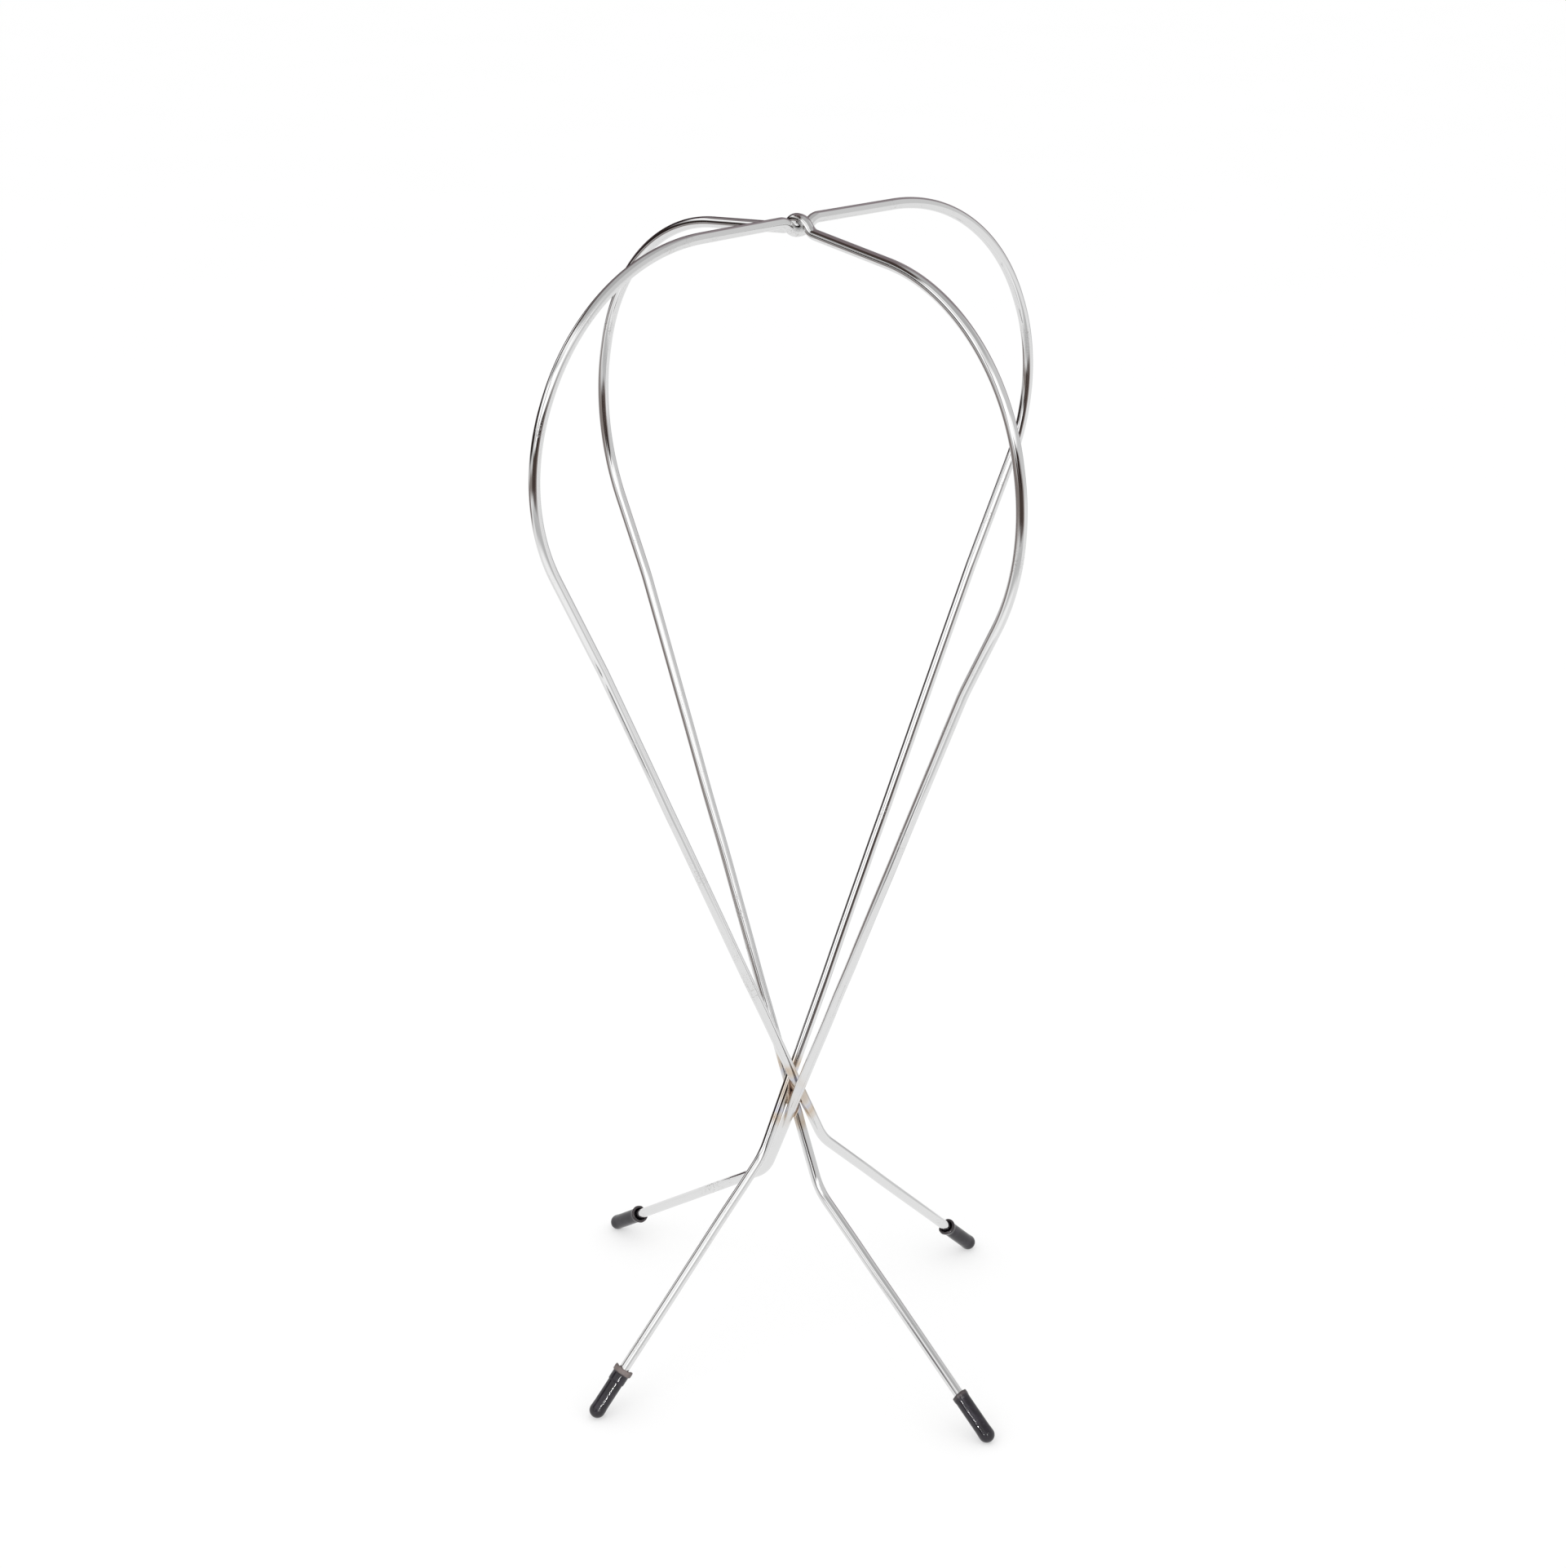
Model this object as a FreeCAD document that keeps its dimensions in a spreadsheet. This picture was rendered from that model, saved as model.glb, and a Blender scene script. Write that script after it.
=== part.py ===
"""Valet stand: two bent, plated steel wires crossed at right angles, on four rubber foot caps.

Each wire is one closed-looking hanger frame: it runs from one foot up through the low crossing, out into
a lobe, over the top knot, down the opposite lobe, and through the low crossing to the opposite foot. At
the knot the wide wire dips under the narrow one. At the low crossing a braze deposit locks all four
strands together. Units are millimetres, +Z is up and the feet rest on Z = 0 around the knot's axis.
"""
import FreeCAD, Part
import math
import os

import Sketcher

DIMS = {
    # wire and the clear gap kept where two strands pass each other
    "wire_diameter": 9.0,
    "strand_gap": 0.25,
    # angle of each frame's plane from the X axis
    "half_angle": 45.0,
    # the knot where the wires pass over and under each other
    "knot_height": 1004.0,
    "kink_flat": 6.0,
    "kink_run": 9.0,
    "kink_radius": 12.0,
    # heights at which each wire crosses itself on the axis
    "wide_crossing_height": 252.0,
    "crossing_step": 31.0,
    # wide frame: its arms, shoulders, flanks and bulges are set from the knot
    "wide_arm_rise": 4.0,
    "wide_shoulder_reach": 207.5,
    "wide_shoulder_rise": 2.5,
    "wide_shoulder_radius": 165.0,
    "wide_flank_reach": 284.0,
    "wide_flank_drop": 169.0,
    "wide_flank_radius": 162.0,
    "wide_bulge_reach": 204.8,
    "wide_bulge_drop": 323.0,
    "wide_bulge_radius": 200.0,
    "wide_ankle_reach": 31.0,
    "wide_ankle_radius": 62.0,
    "wide_foot_reach": 219.5,
    # narrow frame: its arms fall below the knot, so their rise is negative
    "narrow_arm_rise": -4.5,
    "narrow_shoulder_reach": 219.0,
    "narrow_shoulder_rise": -26.0,
    "narrow_shoulder_radius": 164.0,
    "narrow_flank_reach": 262.0,
    "narrow_flank_drop": 212.5,
    "narrow_flank_radius": 186.0,
    "narrow_bulge_reach": 196.6,
    "narrow_bulge_drop": 336.0,
    "narrow_bulge_radius": 208.0,
    "narrow_ankle_reach": 29.5,
    "narrow_ankle_radius": 46.0,
    "narrow_foot_reach": 242.0,
    # rubber foot cap, measured along the leg from the centre of its round tip
    "cap_length": 41.0,
    "cap_wall": 2.2,
    "cap_fit": 0.05,
    "tip_radius": 7.0,
    "tip_neck": 7.0,
    "worn_flat": 0.5,
    "lip_radius": 8.0,
    "lip_band": 3.0,
    "lip_flare": 3.0,
    "mouth_radius": 6.4,
    "mouth_depth": 4.0,
    # braze deposit at the low crossing
    "braze_radius": 7.0,
    "braze_taper": 3.5,
    "braze_reach": 19.0,
}
GROUND_BLOCK = 30.0
SWEEP_TOLERANCE = 0.01

# direction of each frame's lean: which side of its plane a strand moves to below the knot
WIDE, NARROW = "wide", "narrow"
LEAN_SIGN = {WIDE: 1, NARROW: -1}
YAW_SIGN = {WIDE: 1, NARROW: -1}
KNOT_SIGN = {WIDE: -1, NARROW: 1}


def make_sheet(doc):
    """Writes every driving dimension into a spreadsheet, one aliased cell each."""
    sheet = doc.addObject("Spreadsheet::Sheet", "dims")
    for row, (alias, value) in enumerate(DIMS.items(), start=1):
        sheet.set(f"A{row}", alias)
        sheet.set(f"B{row}", str(value))
        sheet.setAlias(f"B{row}", alias)
    doc.recompute()
    return sheet


def strand_offset():
    """Half the centre distance of two strands that pass each other."""
    return "(dims.wire_diameter + dims.strand_gap) / 2"


def knot_level(frame):
    """Height of the wire's centre line where it passes the knot."""
    sign = "+" if KNOT_SIGN[frame] > 0 else "-"
    return f"(dims.knot_height {sign} {strand_offset()})"


def crossing_level(frame):
    """Height at which the wire's straight strands cross the axis."""
    if frame == WIDE:
        return "dims.wide_crossing_height"
    return "(dims.wide_crossing_height - dims.crossing_step)"


def bulge_level(frame):
    """Height of the corner below a lobe's shoulder, where the straight strand starts."""
    return f"(dims.knot_height - dims.{frame}_bulge_drop)"


def lean_angle(frame):
    """Lean of the half frames, in degrees, that sets the two strands side by side at the crossing."""
    sign = "" if LEAN_SIGN[frame] > 0 else "-"
    run = f"({knot_level(frame)} - {crossing_level(frame)})"
    return f"{sign}atan({strand_offset()} / {run})"


def drop(frame, level):
    """Distance down the leaning plane from the knot's centre line to a level, as a negative number."""
    return f"({level} - {knot_level(frame)}) / cos({lean_angle(frame)})"


def tip_level():
    """Height of the centre of a foot cap's round tip, which is also the wire's end."""
    return "(dims.tip_radius - dims.worn_flat)"


def ankle_level(frame):
    """Height of the bend below the crossing, on the straight line from the bulge through the crossing."""
    fall = f"({bulge_level(frame)} - {crossing_level(frame)})"
    reach = f"dims.{frame}_ankle_reach / dims.{frame}_bulge_reach"
    return f"({crossing_level(frame)} - {fall} * {reach})"


def corners(frame):
    """Corner points (reach, drop from the knot) and bend radii of half a wire, as expressions."""
    points = [
        ("0", "0"),
        ("dims.kink_flat", "0"),
        ("dims.kink_flat + dims.kink_run", drop(frame, f"(dims.knot_height + dims.{frame}_arm_rise)")),
        (f"dims.{frame}_shoulder_reach", drop(frame, f"(dims.knot_height + dims.{frame}_shoulder_rise)")),
        (f"dims.{frame}_flank_reach", drop(frame, f"(dims.knot_height - dims.{frame}_flank_drop)")),
        (f"dims.{frame}_bulge_reach", drop(frame, bulge_level(frame))),
        (f"-dims.{frame}_ankle_reach", drop(frame, ankle_level(frame))),
        (f"-dims.{frame}_foot_reach", drop(frame, tip_level())),
    ]
    radii = ["dims.kink_radius", "dims.kink_radius", f"dims.{frame}_shoulder_radius",
             f"dims.{frame}_flank_radius", f"dims.{frame}_bulge_radius", f"dims.{frame}_ankle_radius"]
    return points, radii


def value_of(owner, expression):
    """Number that an expression gives for an object of the document."""
    result = owner.evalExpression(expression)
    return float(getattr(result, "Value", result))


def origin_feature(body, role):
    """One of the body's own origin planes or axes, found by its role."""
    return next(item for item in body.Origin.OriginFeatures if item.Role == role)


def add_sketch(body, name, role):
    """Sketch attached to one of the body's origin planes."""
    sketch = body.newObject("Sketcher::SketchObject", name)
    sketch.AttachmentSupport = (origin_feature(body, role), "")
    sketch.MapMode = "FlatFace"
    return sketch


def bind(sketch, constraint, expression):
    """Adds a datum constraint and binds it to the spreadsheet."""
    index = sketch.addConstraint(constraint)
    sketch.setExpression(f"Constraints[{index}]", expression)


def place_point(sketch, geo, pos, x_expression, y_expression):
    """Holds a sketch point at signed distances from the sketch's origin."""
    for kind, expression in (("DistanceX", x_expression), ("DistanceY", y_expression)):
        value = value_of(sketch, expression)
        bind(sketch, Sketcher.Constraint(kind, -1, 1, geo, pos, value), expression)


def bend_geometry(before, corner, after, radius):
    """Tangent points, centre and sweep of the arc that rounds a corner."""
    back = (before - corner).normalize()
    ahead = (after - corner).normalize()
    half = back.getAngle(ahead) / 2
    reach = radius / math.tan(half)
    bisector = (back + ahead).normalize()
    centre = corner + bisector * (radius / math.sin(half))
    return corner + back * reach, corner + ahead * reach, centre


def arc_through(start, end, centre, radius):
    """The short arc from start to end, and the end numbers of start and end on it."""
    circle = Part.Circle(centre, FreeCAD.Vector(0, 0, 1), radius)
    first = math.atan2(start.y - centre.y, start.x - centre.x)
    last = math.atan2(end.y - centre.y, end.x - centre.x)
    turn = (last - first + math.pi) % (2 * math.pi) - math.pi
    if turn > 0:
        return Part.ArcOfCircle(circle, first, first + turn), 1, 2
    return Part.ArcOfCircle(circle, last, last - turn), 2, 1


def guide_polygon(sketch, points):
    """Construction lines through the corner points, each corner held by two datums."""
    spots = [FreeCAD.Vector(value_of(sketch, x), value_of(sketch, y), 0) for x, y in points]
    guides = []
    for start, end in zip(spots, spots[1:]):
        guides.append(sketch.addGeometry(Part.LineSegment(start, end), True))
    sketch.addConstraint(Sketcher.Constraint("Coincident", guides[0], 1, -1, 1))
    for left, right in zip(guides, guides[1:]):
        sketch.addConstraint(Sketcher.Constraint("Coincident", left, 2, right, 1))
    sketch.addConstraint(Sketcher.Constraint("Horizontal", guides[0]))
    first = value_of(sketch, points[1][0])
    bind(sketch, Sketcher.Constraint("DistanceX", -1, 1, guides[0], 2, first), points[1][0])
    for guide, (x, y) in zip(guides[1:], points[2:]):
        place_point(sketch, guide, 2, x, y)
    return spots, guides


def wire_path(body, frame):
    """Path sketch of half a wire: straight runs joined by tangent bends, in its leaning plane."""
    sketch = add_sketch(body, f"{frame}_path", "XZ_Plane")
    sketch.setExpression("AttachmentOffset", (
        f"create(<<placement>>; create(<<vector>>; 0; {knot_level(frame)}; 0); "
        f"create(<<rotation>>; create(<<vector>>; 1; 0; 0); {lean_angle(frame)}))"))
    points, radii = corners(frame)
    spots, guides = guide_polygon(sketch, points)
    bends = []
    for index, radius in enumerate(radii, start=1):
        size = value_of(sketch, radius)
        start, end, centre = bend_geometry(*spots[index - 1:index + 2], size)
        bends.append((start, end, centre, size))
    starts = [spots[0]] + [bend[1] for bend in bends]
    ends = [bend[0] for bend in bends] + [spots[-1]]
    runs = [sketch.addGeometry(Part.LineSegment(a, b), False) for a, b in zip(starts, ends)]
    sketch.addConstraint(Sketcher.Constraint("Coincident", runs[0], 1, -1, 1))
    sketch.addConstraint(Sketcher.Constraint("Coincident", runs[-1], 2, guides[-1], 2))
    for index, (run, guide) in enumerate(zip(runs, guides)):
        if index > 0:
            sketch.addConstraint(Sketcher.Constraint("PointOnObject", run, 1, guide))
        if index < len(runs) - 1:
            sketch.addConstraint(Sketcher.Constraint("PointOnObject", run, 2, guide))
    for index, (start, end, centre, size) in enumerate(bends):
        arc, first, last = arc_through(start, end, centre, size)
        geo = sketch.addGeometry(arc, False)
        sketch.addConstraint(Sketcher.Constraint("Tangent", runs[index], 2, geo, first))
        sketch.addConstraint(Sketcher.Constraint("Tangent", runs[index + 1], 1, geo, last))
        bind(sketch, Sketcher.Constraint("Radius", geo, size), radii[index])
    return sketch


def wire_section(body, frame):
    """Round section of the wire at the knot, square to the path."""
    sketch = add_sketch(body, f"{frame}_section", "YZ_Plane")
    level = value_of(sketch, knot_level(frame))
    size = value_of(sketch, "dims.wire_diameter")
    circle = Part.Circle(FreeCAD.Vector(0, level, 0), FreeCAD.Vector(0, 0, 1), size / 2)
    geo = sketch.addGeometry(circle, False)
    sketch.addConstraint(Sketcher.Constraint("PointOnObject", geo, 3, -2))
    bind(sketch, Sketcher.Constraint("DistanceY", -1, 1, geo, 3, level), knot_level(frame))
    bind(sketch, Sketcher.Constraint("Diameter", geo, size), "dims.wire_diameter")
    return sketch


def yaw_placement(frame, opposite=False):
    """Placement expression that turns a frame's plane about the knot's axis."""
    sign = "" if YAW_SIGN[frame] > 0 else "-"
    turn = f"{sign}dims.half_angle" + (" + 180" if opposite else "")
    return (f"create(<<placement>>; create(<<vector>>; 0; 0; 0); "
            f"create(<<rotation>>; create(<<vector>>; 0; 0; 1); {turn}))")


def make_wire(doc, frame):
    """One bent wire: half of it swept along its path, then repeated half a turn round the axis."""
    body = doc.addObject("PartDesign::Body", f"{frame}_frame_wire")
    path = wire_path(body, frame)
    section = wire_section(body, frame)
    doc.recompute()
    pipe = body.newObject("PartDesign::AdditivePipe", f"{frame}_half_wire")
    pipe.Profile = section
    pipe.Spine = (path, [])
    doc.recompute()
    check_sweep(pipe, path, frame)
    pattern = body.newObject("PartDesign::PolarPattern", f"{frame}_both_halves")
    pattern.Originals = [pipe]
    pattern.Axis = (origin_feature(body, "Z_Axis"), [""])
    pattern.Angle = 360
    pattern.Occurrences = 2
    body.Tip = pattern
    body.setExpression("Placement", yaw_placement(frame))
    section.Visibility = path.Visibility = False
    doc.recompute()
    return body


def check_sweep(pipe, path, frame):
    """Compares the swept volume with the section's area times the path's length."""
    area = math.pi * value_of(pipe, "dims.wire_diameter") ** 2 / 4
    expected = area * path.Shape.Length
    error = abs(pipe.Shape.Volume - expected) / expected
    print(f"{frame} half wire: length {path.Shape.Length:.1f}, volume error {error:.5f}")
    if error > SWEEP_TOLERANCE:
        raise RuntimeError(f"the {frame} wire's sweep has the wrong volume")


def leg_pitch(frame):
    """Angle, in degrees, from upright to the leg, leaning towards the axis."""
    run = f"(dims.{frame}_foot_reach - dims.{frame}_ankle_reach)"
    rise = f"({ankle_level(frame)} - {tip_level()}) / cos({lean_angle(frame)})"
    return f"atan({run} / ({rise}))"


def cap_placement(frame, opposite):
    """Placement expression of a foot cap: on the wire's end, its own Z axis up along the leg."""
    top = knot_level(frame)
    return (
        f"{yaw_placement(frame, opposite)} * "
        f"create(<<placement>>; create(<<vector>>; 0; 0; {top}); "
        f"create(<<rotation>>; create(<<vector>>; 1; 0; 0); {lean_angle(frame)})) * "
        f"create(<<placement>>; "
        f"create(<<vector>>; -dims.{frame}_foot_reach; 0; {drop(frame, tip_level())}); "
        f"create(<<rotation>>; create(<<vector>>; 0; 1; 0); {leg_pitch(frame)}))")


def ground_placement(frame):
    """Placement expression, in a cap's own frame, of the block below the floor."""
    half = GROUND_BLOCK / 2
    depth = f"-{GROUND_BLOCK} - {tip_level()}"
    return (
        f"create(<<placement>>; create(<<vector>>; 0; 0; 0); "
        f"create(<<rotation>>; create(<<vector>>; 0; 1; 0); -{leg_pitch(frame)})) * "
        f"create(<<placement>>; create(<<vector>>; 0; 0; 0); "
        f"create(<<rotation>>; create(<<vector>>; 1; 0; 0); -({lean_angle(frame)}))) * "
        f"create(<<placement>>; create(<<vector>>; -{half}; -{half}; {depth}); "
        f"create(<<rotation>>; create(<<vector>>; 0; 0; 1); 0))")


def cap_outline():
    """Corner points (radius, height along the leg) of half a cap's section above its round tip."""
    bore = "dims.wire_diameter / 2 + dims.cap_fit"
    sleeve = f"{bore} + dims.cap_wall"
    band = "dims.cap_length - dims.lip_band"
    return [
        ("0", "0"),
        (bore, "0"),
        (bore, "dims.cap_length - dims.mouth_depth"),
        ("dims.mouth_radius", "dims.cap_length"),
        ("dims.lip_radius", "dims.cap_length"),
        ("dims.lip_radius", band),
        (sleeve, f"{band} - dims.lip_flare"),
        (sleeve, "dims.tip_neck"),
        ("dims.tip_radius", "0"),
    ]


def cap_sketch(body, name):
    """Half section of a cap: a round tip, a sleeve on the wire and a flared open lip."""
    sketch = add_sketch(body, name, "XZ_Plane")
    points = cap_outline()
    spots = [FreeCAD.Vector(value_of(sketch, x), value_of(sketch, y), 0) for x, y in points]
    lines = []
    for start, end in zip(spots, spots[1:]):
        lines.append(sketch.addGeometry(Part.LineSegment(start, end), False))
    tip = value_of(sketch, "dims.tip_radius")
    circle = Part.Circle(FreeCAD.Vector(0, 0, 0), FreeCAD.Vector(0, 0, 1), tip)
    arc = sketch.addGeometry(Part.ArcOfCircle(circle, -math.pi / 2, 0), False)
    base = FreeCAD.Vector(0, -tip, 0)
    core = sketch.addGeometry(Part.LineSegment(base, spots[0]), False)
    for left, right in zip(lines, lines[1:]):
        sketch.addConstraint(Sketcher.Constraint("Coincident", left, 2, right, 1))
    sketch.addConstraint(Sketcher.Constraint("Coincident", lines[0], 1, -1, 1))
    sketch.addConstraint(Sketcher.Constraint("Horizontal", lines[0]))
    bore = points[1][0]
    bind(sketch, Sketcher.Constraint("DistanceX", -1, 1, lines[0], 2, spots[1].x), bore)
    for line, (x, y) in zip(lines[1:-1], points[2:-1]):
        place_point(sketch, line, 2, x, y)
    sketch.addConstraint(Sketcher.Constraint("Coincident", arc, 3, -1, 1))
    sketch.addConstraint(Sketcher.Constraint("Coincident", arc, 2, lines[-1], 2))
    sketch.addConstraint(Sketcher.Constraint("PointOnObject", lines[-1], 2, -1))
    sketch.addConstraint(Sketcher.Constraint("Coincident", arc, 1, core, 1))
    sketch.addConstraint(Sketcher.Constraint("Coincident", core, 2, -1, 1))
    sketch.addConstraint(Sketcher.Constraint("Vertical", core))
    bind(sketch, Sketcher.Constraint("Radius", arc, tip), "dims.tip_radius")
    return sketch


def make_cap(doc, frame, opposite, label):
    """A moulded rubber cap on one wire end, with the small flat that its tip wears on the floor."""
    body = doc.addObject("PartDesign::Body", label)
    sketch = cap_sketch(body, f"{label}_section")
    doc.recompute()
    turned = body.newObject("PartDesign::Revolution", f"{label}_turned")
    turned.Profile = sketch
    turned.ReferenceAxis = (sketch, ["V_Axis"])
    turned.Angle = 360
    doc.recompute()
    whole = turned.Shape.Volume
    floor = body.newObject("PartDesign::SubtractiveBox", f"{label}_floor")
    for side in ("Length", "Width", "Height"):
        setattr(floor, side, GROUND_BLOCK)
    floor.setExpression("Placement", ground_placement(frame))
    body.Tip = floor
    body.setExpression("Placement", cap_placement(frame, opposite))
    sketch.Visibility = False
    doc.recompute()
    if not floor.Shape.Volume < whole:
        raise RuntimeError(f"{label} has no worn flat")
    return body


def strand_pitch(frame):
    """Angle, in degrees, from upright to the straight strand at the crossing, leaning outwards."""
    rise = f"({bulge_level(frame)} - {crossing_level(frame)}) / cos({lean_angle(frame)})"
    return f"atan(dims.{frame}_bulge_reach / ({rise}))"


def strand_placement(frame, opposite):
    """Placement expression of a straight strand: its middle at the crossing, its own Z axis along it."""
    return (
        f"{yaw_placement(frame, opposite)} * "
        f"create(<<placement>>; create(<<vector>>; 0; 0; {knot_level(frame)}); "
        f"create(<<rotation>>; create(<<vector>>; 1; 0; 0); {lean_angle(frame)})) * "
        f"create(<<placement>>; create(<<vector>>; 0; 0; {drop(frame, crossing_level(frame))}); "
        f"create(<<rotation>>; create(<<vector>>; 0; 1; 0); {strand_pitch(frame)})) * "
        f"create(<<placement>>; create(<<vector>>; 0; 0; -2 * dims.braze_reach); "
        f"create(<<rotation>>; create(<<vector>>; 0; 0; 1); 0))")


def make_strand(doc, frame, opposite):
    """The straight strand that the braze is formed round, as a plain round bar."""
    side = "back" if opposite else "front"
    bar = doc.addObject("Part::Cylinder", f"{frame}_{side}_strand")
    bar.setExpression("Radius", "dims.wire_diameter / 2")
    bar.setExpression("Height", "4 * dims.braze_reach")
    bar.setExpression("Placement", strand_placement(frame, opposite))
    return bar


def braze_outline():
    """Corner points (radius, height) of half the braze plug's section, from the axis and back to it."""
    middle = "(dims.wide_crossing_height - dims.crossing_step / 2)"
    return [
        ("0", f"{middle} - dims.braze_reach"),
        ("dims.braze_taper", f"{middle} - dims.braze_reach"),
        ("dims.braze_radius", f"{middle} - dims.braze_reach / 2"),
        ("dims.braze_radius", f"{middle} + dims.braze_reach / 2"),
        ("dims.braze_taper", f"{middle} + dims.braze_reach"),
        ("0", f"{middle} + dims.braze_reach"),
    ]


def braze_plug(doc):
    """Round plug between the four strands, tapered at both ends."""
    body = doc.addObject("PartDesign::Body", "braze_plug")
    sketch = add_sketch(body, "braze_section", "XZ_Plane")
    points = braze_outline()
    spots = [FreeCAD.Vector(value_of(sketch, x), value_of(sketch, y), 0) for x, y in points]
    lines = []
    for start, end in zip(spots, spots[1:] + spots[:1]):
        lines.append(sketch.addGeometry(Part.LineSegment(start, end), False))
    for left, right in zip(lines, lines[1:] + lines[:1]):
        sketch.addConstraint(Sketcher.Constraint("Coincident", left, 2, right, 1))
    for line, (x, y) in zip(lines[:4], points[1:5]):
        place_point(sketch, line, 2, x, y)
    for line, end in ((lines[0], 1), (lines[4], 2)):
        sketch.addConstraint(Sketcher.Constraint("Horizontal", line))
        sketch.addConstraint(Sketcher.Constraint("PointOnObject", line, end, -2))
    doc.recompute()
    turned = body.newObject("PartDesign::Revolution", "braze_turned")
    turned.Profile = sketch
    turned.ReferenceAxis = (sketch, ["V_Axis"])
    turned.Angle = 360
    body.Tip = turned
    sketch.Visibility = False
    return body


def make_braze(doc):
    """Braze deposit between the four strands: a tapered plug at the crossings, less the strands."""
    strands = doc.addObject("Part::Compound", "braze_strands")
    strands.Links = [make_strand(doc, frame, opposite)
                     for frame in (WIDE, NARROW) for opposite in (False, True)]
    braze = doc.addObject("Part::Cut", "crossing_braze")
    braze.Base = braze_plug(doc)
    braze.Tool = strands
    doc.recompute()
    return braze


def check_document(doc, pieces):
    """Stops on any failed object and on any piece without a valid, non-empty shape."""
    for item in doc.Objects:
        if {"Invalid", "Error"} & set(item.State):
            raise RuntimeError(f"{item.Name} did not recompute: {item.State}")
    for item in pieces:
        shape = item.Shape
        if shape.isNull() or not shape.isValid() or shape.Volume <= 0:
            raise RuntimeError(f"{item.Label} has no valid shape")


def main():
    """Builds the stand and writes one STEP file for each piece."""
    doc = FreeCAD.newDocument("valet_stand")
    make_sheet(doc)
    wires = [make_wire(doc, WIDE), make_wire(doc, NARROW)]
    caps = [
        make_cap(doc, WIDE, False, "front_left_foot_cap"),
        make_cap(doc, WIDE, True, "back_right_foot_cap"),
        make_cap(doc, NARROW, False, "back_left_foot_cap"),
        make_cap(doc, NARROW, True, "front_right_foot_cap"),
    ]
    braze = make_braze(doc)
    pieces = wires + [braze] + caps
    doc.recompute()
    check_document(doc, pieces)
    os.makedirs("parts", exist_ok=True)
    for piece in pieces:
        piece.Shape.exportStep(f"parts/{piece.Label}.step")
        box = piece.Shape.BoundBox
        print(f"{piece.Label}: {len(piece.Shape.Solids)} solids, {piece.Shape.Volume:.0f} mm3, "
              f"Z {box.ZMin:.2f} to {box.ZMax:.2f}")


main()
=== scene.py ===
"""Dresses the valet stand: two plated steel wires, the braze that locks them and four rubber foot caps.

Every piece is rebuilt as a fine mesh in the frame's own place. The wires are swept by Geometry Nodes along
the same straight runs and bends as the solids, the braze is grown between the four strands that it joins,
and each cap is turned with the marks that its own foot has picked up.
"""
import logging
import math
from dataclasses import dataclass, field
from enum import Enum
from typing import Any, Iterable, Sequence

import bpy
from bpy.types import Material, Mesh, Node, NodeSocket, NodeTree, Object
from mathutils import Matrix, Vector, noise


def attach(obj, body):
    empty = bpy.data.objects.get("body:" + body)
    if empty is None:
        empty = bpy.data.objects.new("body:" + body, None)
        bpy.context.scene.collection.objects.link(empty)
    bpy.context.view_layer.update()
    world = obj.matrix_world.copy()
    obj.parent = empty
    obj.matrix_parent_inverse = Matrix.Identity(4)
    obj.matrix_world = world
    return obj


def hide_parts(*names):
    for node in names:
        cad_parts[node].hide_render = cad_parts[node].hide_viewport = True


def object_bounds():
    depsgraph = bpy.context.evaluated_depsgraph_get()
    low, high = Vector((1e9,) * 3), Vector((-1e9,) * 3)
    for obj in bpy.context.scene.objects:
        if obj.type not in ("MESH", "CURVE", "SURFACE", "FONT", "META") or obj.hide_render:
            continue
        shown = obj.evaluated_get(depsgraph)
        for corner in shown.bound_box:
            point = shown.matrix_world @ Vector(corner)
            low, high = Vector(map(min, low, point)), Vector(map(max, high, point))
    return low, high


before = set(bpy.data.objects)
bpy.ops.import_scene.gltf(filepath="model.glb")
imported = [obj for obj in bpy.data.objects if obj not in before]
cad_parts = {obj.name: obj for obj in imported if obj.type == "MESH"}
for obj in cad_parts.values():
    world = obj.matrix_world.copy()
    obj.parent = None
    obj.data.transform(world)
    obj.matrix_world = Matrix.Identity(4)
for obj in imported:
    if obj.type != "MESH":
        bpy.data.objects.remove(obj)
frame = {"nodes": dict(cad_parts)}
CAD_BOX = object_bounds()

LOG = logging.getLogger("valet_stand")
MM = 0.001
BODY = "root"
MOST_NOISE = (0.3, 0.7)

Colour = tuple[float, float, float, float]
Stops = Sequence[tuple[float, str]]
Shell = tuple[list[Vector], list[list[int]]]


def linear(hex_colour: str) -> Colour:
    """Turns an sRGB hex colour into the linear colour that a node takes.

    Args:
        hex_colour: Six hex digits after a hash sign.

    Returns:
        Linear red, green, blue and an alpha of 1.
    """
    parts = [int(hex_colour[start:start + 2], 16) / 255 for start in (1, 3, 5)]
    red, green, blue = [
        part / 12.92 if part <= 0.04045 else ((part + 0.055) / 1.055) ** 2.4 for part in parts]
    return red, green, blue, 1.0


WHITE = linear("#ffffff")


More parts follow.
